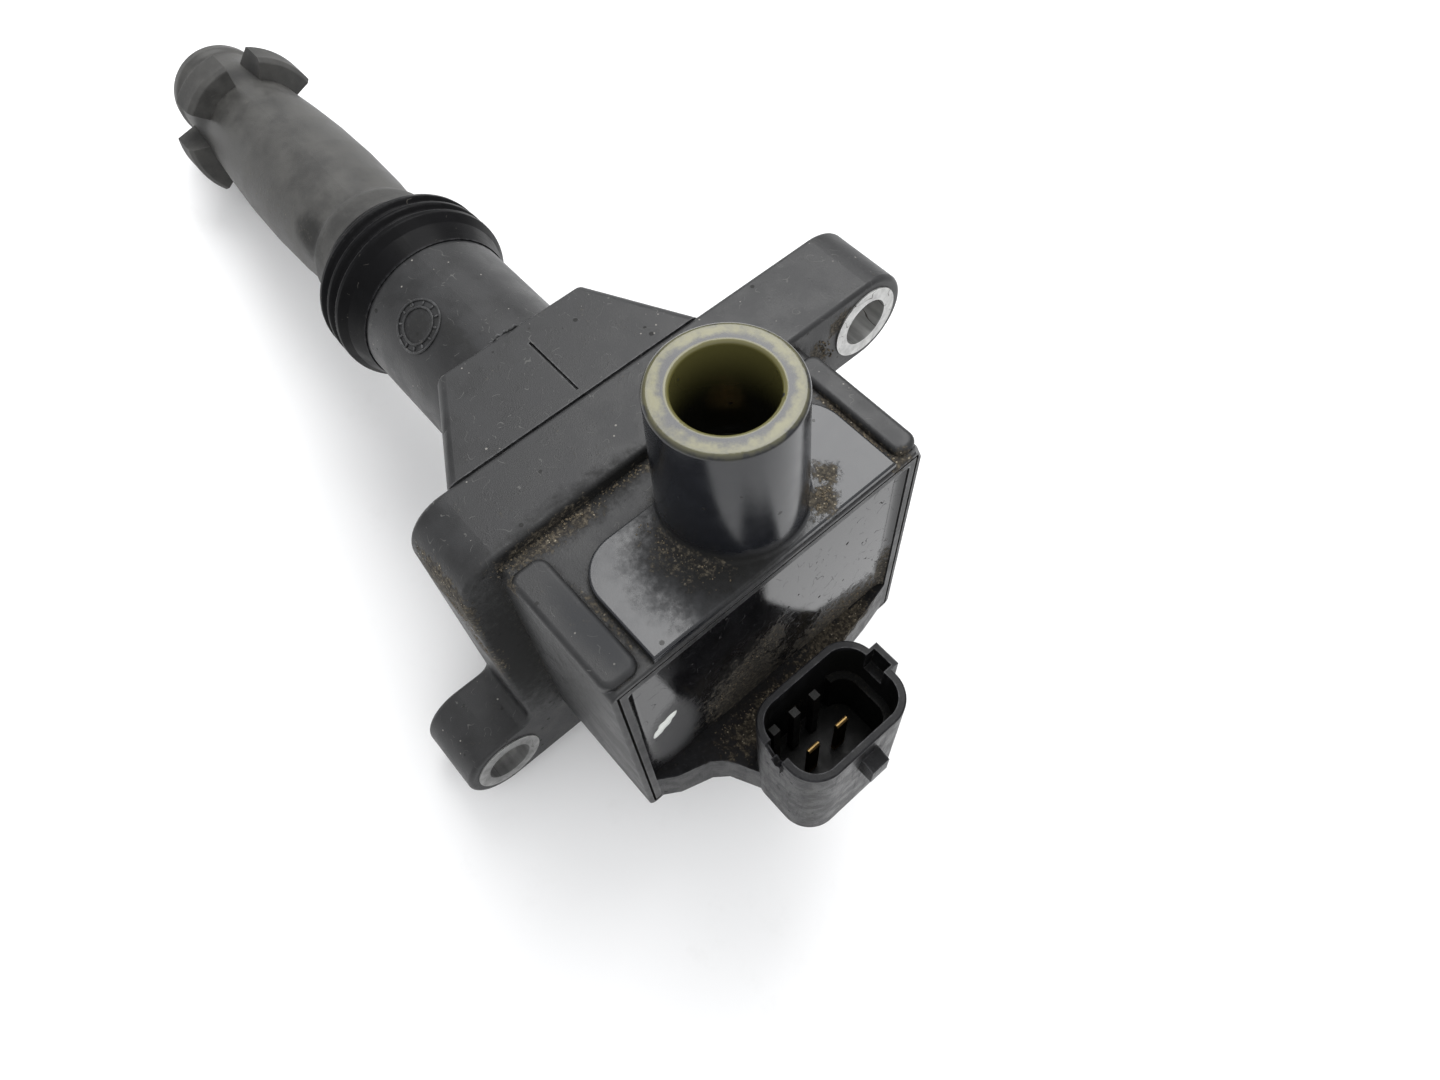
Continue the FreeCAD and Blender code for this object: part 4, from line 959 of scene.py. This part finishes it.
@dataclass
class PaintDab:
    """Dab of inspection paint on the potting: a leaf with a torn side."""

    centre: Point = (-31.6, 13.7, -10.9)
    tip: Point = (-31.6, 11.75, -9.35)
    half_width: float = 1.05
    thickness: float = 0.16
    steps: int = 26
    around: int = 10

    def build(self, wardrobe: Wardrobe) -> bpy.types.Object:
        """Make the dab.

        Args:
            wardrobe: Gives the finish.

        Returns:
            The dab.
        """
        centre = Vector(self.centre)
        along = Vector(self.tip) - centre
        across = along.normalized().cross(Vector((-1, 0, 0)))
        rings = []
        for step in range(self.steps + 1):
            share = -1 + 2 * step / self.steps
            full = max(1 - share * share, 0.01) ** 0.6
            torn = 1 + 0.22 * math.sin(9 * share + 1) * (1 - abs(share))
            bend = 0.2 * share * share - 0.07
            ring = []
            for turn in range(self.around):
                angle = 2 * math.pi * turn / self.around
                side = self.half_width * full * torn * math.cos(angle) + bend
                lift = self.thickness * full ** 0.5 * math.sin(angle)
                point = centre + share * along + side * across + Vector((-lift, 0, 0))
                ring.append(point * MM)
            rings.append(ring)
        dab = closed_loft("paint_dab", rings, joined=False)
        wardrobe.dress(dab, "paint")
        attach(dab, BODY)
        LOG.info("paint dab %.1f mm long", 2 * along.length)
        return dab


@dataclass
class DateDial:
    """Moulded date dial on the shaft tube: two rings with ticks between them."""

    centre_x: float = 25.1
    angle_deg: float = 33.0
    tube_r: float = 11.5
    rings: tuple[float, ...] = (3.6, 2.5)
    ring_w: float = 0.34
    height: float = 0.22
    sunk: float = 0.06
    ticks: int = 12
    steps: int = 56

    def wrapped(self, along: float, around: float, lift: float) -> Vector:
        """Point on the tube's surface, lifted off it, in metres."""
        angle = math.radians(self.angle_deg) + around / self.tube_r
        radius = self.tube_r + lift
        return mm(self.centre_x + along, radius * math.sin(angle), radius * math.cos(angle))

    def ring(self, number: int, radius: float) -> bpy.types.Object:
        """One raised ring with a rounded top."""
        half = self.ring_w / 2
        section = ((-half, -self.sunk), (-half, self.height * 0.6), (-half * 0.5, self.height),
                   (half * 0.5, self.height), (half, self.height * 0.6), (half, -self.sunk))
        loops = []
        for step in range(self.steps):
            turn = 2 * math.pi * step / self.steps
            loops.append([self.wrapped((radius + out) * math.cos(turn),
                                       (radius + out) * math.sin(turn), lift)
                          for out, lift in section])
        return closed_loft(f"date_dial_ring_{number}", loops, joined=True)

    def tick(self, number: int) -> bpy.types.Object:
        """One tapered tick between the two rings."""
        turn = 2 * math.pi * number / self.ticks
        outer, inner = self.rings
        loops = []
        for share in (0.25, 0.5, 0.75):
            radius = inner + (outer - inner) * share
            half = 0.16 - 0.08 * abs(share - 0.5)
            loop = []
            for side, lift in ((-half, -self.sunk), (-half * 0.7, self.height * 0.8),
                               (half * 0.7, self.height * 0.8), (half, -self.sunk)):
                loop.append(self.wrapped(
                    radius * math.cos(turn) - side * math.sin(turn),
                    radius * math.sin(turn) + side * math.cos(turn), lift))
            loops.append(loop)
        return closed_loft(f"date_dial_tick_{number:02d}", loops, joined=False)

    def build(self, wardrobe: Wardrobe) -> None:
        """Make the rings and ticks.

        Args:
            wardrobe: Gives the finish.
        """
        pieces = [self.ring(number, radius) for number, radius in enumerate(self.rings)]
        pieces += [self.tick(number) for number in range(self.ticks)]
        for piece in pieces:
            wardrobe.dress(piece, "housing_plastic")
            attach(piece, BODY)
        LOG.info("date dial of %d pieces", len(pieces))


@dataclass(frozen=True)
class GritRun:
    """Stretch of a corner with grains in it, in millimetres."""

    name: str
    start: Point
    end: Point
    spread: Point
    count: int
    size: float = 0.16


GRIT_RUNS = (
    GritRun("flange_corner", (-11.9, 20.0, 9.4), (-11.9, -2.0, 9.4), (0.5, 0.6, 0.0), 90),
    GritRun("tower_side", (-30.9, -12.6, 10.5), (-28.4, -15.6, 10.5), (0.7, 0.8, 0.0), 46),
    GritRun("tower_front", (-30.0, 1.5, 10.5), (-18.5, 4.5, 10.5), (1.3, 1.3, 0.0), 60, 0.12),
    GritRun("panel_groove", (-30.5, -23.8, 9.4), (-20.0, -23.8, 9.4), (0.5, 0.2, 0.0), 44),
    GritRun("upper_ear", (-11.45, -31.0, 7.5), (-11.45, -33.6, 2.5), (0.0, 0.6, 0.8), 30),
    GritRun("resin_right", (-31.62, -24.0, -24.0), (-31.62, -12.0, -19.0), (0.0, 2.2, 2.2),
            70, 0.13),
    GritRun("resin_left", (-31.62, 7.5, -20.0), (-31.62, -4.0, -12.0), (0.0, 2.2, 2.6),
            70, 0.12),
    GritRun("web_top", (-33.4, 8.0, -24.4), (-33.6, -12.0, -24.4), (0.6, 1.0, 0.0), 60, 0.13),
    GritRun("flange_end", (-7.0, 24.7, 3.0), (-8.0, 24.7, -9.0), (2.6, 0.0, 1.6), 60, 0.11),
)


def loose_grit(run: GritRun, wardrobe: Wardrobe) -> bpy.types.Object:
    """Scatter a stretch of grains, each a small uneven lump sunk a little in its surface.

    Args:
        run: Where they lie.
        wardrobe: Gives the finish.

    Returns:
        The grains as one piece.
    """
    mesh = bmesh.new()
    for _ in range(run.count):
        share = random.random()
        size = run.size * random.triangular(0.5, 1.7, 0.7)
        place = Vector(run.start).lerp(Vector(run.end), share)
        place += Vector([random.gauss(0, 1) * reach * 0.6 for reach in run.spread])
        stretch = Matrix.Diagonal([size * random.uniform(0.5, 1.2) for _ in range(3)])
        turn = Matrix.Rotation(random.uniform(0, 2 * math.pi), 3, Vector(
            [random.uniform(-1, 1) for _ in range(3)]).normalized())
        shape = (turn @ stretch).to_4x4()
        place_at = Matrix.Translation(place * MM) @ Matrix.Scale(MM, 4) @ shape
        bmesh.ops.create_icosphere(mesh, subdivisions=1, radius=1.0, matrix=place_at)
    grains = new_mesh("grit_" + run.name, mesh, smooth=False)
    wardrobe.dress(grains, "grains")
    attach(grains, BODY)
    LOG.info("%s: %d grains", run.name, run.count)
    return grains


@dataclass
class TornFlash:
    """Torn sliver of moulding flash where the neck meets the shaft tube."""

    centre_x: float = 14.6
    tube_r: float = 11.5
    start_deg: float = 8.0
    end_deg: float = -20.0
    steps: int = 22

    def build(self, wardrobe: Wardrobe) -> bpy.types.Object:
        """Make the sliver, ragged in height and width.

        Args:
            wardrobe: Gives the finish.

        Returns:
            The sliver.
        """
        rings = []
        for step in range(self.steps + 1):
            share = step / self.steps
            angle = math.radians(self.start_deg + (self.end_deg - self.start_deg) * share)
            taper = math.sin(math.pi * min(max(share, 0.03), 0.97)) ** 0.5
            tall = taper * random.uniform(0.15, 0.5)
            wide = taper * random.uniform(0.15, 0.35)
            lean = random.uniform(-0.2, 0.3)
            ring = []
            for along, lift in ((-wide, -0.1), (lean - 0.05, tall), (lean + 0.05, tall * 0.9),
                                (wide, -0.1)):
                radius = self.tube_r + lift
                ring.append(mm(self.centre_x + along, radius * math.sin(angle),
                               radius * math.cos(angle)))
            rings.append(ring)
        flash = closed_loft("torn_flash", rings, joined=False)
        wardrobe.dress(flash, "housing_plastic")
        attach(flash, BODY)
        LOG.info("torn flash over %.0f degrees", self.start_deg - self.end_deg)
        return flash


@dataclass
class Studio:
    """Camera, table and soft light."""

    camera_at: Point = (-70.30, 31.46, 108.80)
    forward: Point = (0.39198, -0.29216, -0.87235)
    up: Point = (0.64315, -0.59099, 0.48692)
    lens: float = 25.16
    rest_edge: Point = (-0.5, 0.0, -44.8)
    rest_tip: Point = (92.8, 0.0, -11.72)
    table_size: float = 3.0
    table_colour: Colour = (0.94, 0.94, 0.94)
    horizon: float = 0.52
    zenith: float = 1.24

    def build(self) -> None:
        """Set up everything round the coil."""
        self.camera()
        self.table()
        self.light()

    def table_normal(self) -> Vector:
        """Direction straight up from the table."""
        along = (Vector(self.rest_tip) - Vector(self.rest_edge)).normalized()
        return Vector((0, -1, 0)).cross(along).normalized()

    def camera(self) -> None:
        """Place the camera."""
        data = bpy.data.cameras.new("camera")
        data.lens = self.lens
        data.sensor_width = 36.0
        data.clip_start = 0.001
        camera = bpy.data.objects.new("camera", data)
        forward = Vector(self.forward).normalized()
        right = forward.cross(Vector(self.up)).normalized()
        up = right.cross(forward)
        turn = Matrix((right, up, -forward)).transposed()
        camera.matrix_world = Matrix.Translation(mm(*self.camera_at)) @ turn.to_4x4()
        bpy.context.scene.collection.objects.link(camera)
        bpy.context.scene.camera = camera

    def table(self) -> None:
        """Lay the pale table under the coil."""
        normal = self.table_normal()
        side = Vector((0, 1, 0))
        along = side.cross(normal)
        half = self.table_size / 2
        mesh = bmesh.new()
        corners = [mesh.verts.new(mm(*self.rest_edge) + half * (a * along + b * side))
                   for a, b in ((-1, -1), (1, -1), (1, 1), (-1, 1))]
        mesh.faces.new(corners)
        floor = new_mesh("table", mesh, smooth=False)
        if floor.data.polygons[0].normal.dot(normal) < 0:
            floor.data.flip_normals()
        material = bpy.data.materials.new("table_top")
        material.use_nodes = True
        material.node_tree.nodes.clear()
        sheet = NodeSheet(material.node_tree)
        place = sheet.add("TexCoord").outputs["Object"]
        marks = sheet.step(sheet.noise(place, 60.0, 8.0, 0.75), 0.55, 0.75)
        colour = sheet.blend(sheet.math("MULTIPLY", marks, 0.12), self.table_colour,
                             (0.66, 0.65, 0.63))
        shader = sheet.add("BsdfPrincipled", {"Base Color": colour, "Roughness": 0.6})
        clear = sheet.add("BsdfTransparent")
        back = sheet.add("NewGeometry").outputs["Backfacing"]
        mixed = sheet.add("MixShader", {0: back, 1: shader.outputs[0], 2: clear.outputs[0]})
        sheet.add("OutputMaterial", {"Surface": mixed.outputs[0]})
        floor.data.materials.append(material)

    def light(self) -> None:
        """Soft light all round with one large soft box over the far side."""
        world = bpy.data.worlds.new("studio")
        world.use_nodes = True
        world.node_tree.nodes.clear()
        sheet = NodeSheet(world.node_tree)
        toward = sheet.add("TexCoord").outputs["Generated"]
        height = sheet.add("VectorMath", {0: toward, 1: self.table_normal()},
                           operation="DOT_PRODUCT")
        level = sheet.step(height.outputs["Value"], 0.0, 0.9, self.horizon, self.zenith)
        background = sheet.add("Background", {"Color": (0.985, 0.99, 1.0), "Strength": level})
        sheet.add("OutputWorld", {"Surface": background.outputs[0]})
        bpy.context.scene.world = world
        self.area("key", (95.0, -165.0, 350.0), 260.0, 1.2)
        bpy.context.scene.view_settings.view_transform = "Standard"

    def area(self, name: str, place: Point, size: float, power: float) -> None:
        """Add one square soft box aimed at the coil.

        Args:
            name: Name of the light.
            place: Where it hangs, in millimetres.
            size: Side of the square, in millimetres.
            power: Power in watts.
        """
        data = bpy.data.lights.new(name, "AREA")
        data.size = size * MM
        data.energy = power
        lamp = bpy.data.objects.new(name, data)
        lamp.location = mm(*place)
        aim = (mm(0, 0, 0) - lamp.location).to_track_quat("-Z", "Y")
        lamp.rotation_euler = aim.to_euler()
        bpy.context.scene.collection.objects.link(lamp)


def corners(box: tuple[Vector, Vector]) -> list[list[float]]:
    """Two corners as plain lists of numbers."""
    return [[round(float(value), 6) for value in corner] for corner in box]


def main() -> None:
    """Build the studio, dress the model and add the pieces it doesn't have."""
    logging.basicConfig(level=logging.INFO, format="%(name)s: %(message)s")
    random.seed(7)
    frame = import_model()
    Studio().build()
    wardrobe = Wardrobe(Effects(), frame["record"])
    wardrobe.dress_nodes(frame["nodes"])
    ContactSpring().build(wardrobe)
    PaintDab().build(wardrobe)
    DateDial().build(wardrobe)
    TornFlash().build(wardrobe)
    for run in GRIT_RUNS:
        loose_grit(run, wardrobe)


if __name__ == "__main__":
    main()
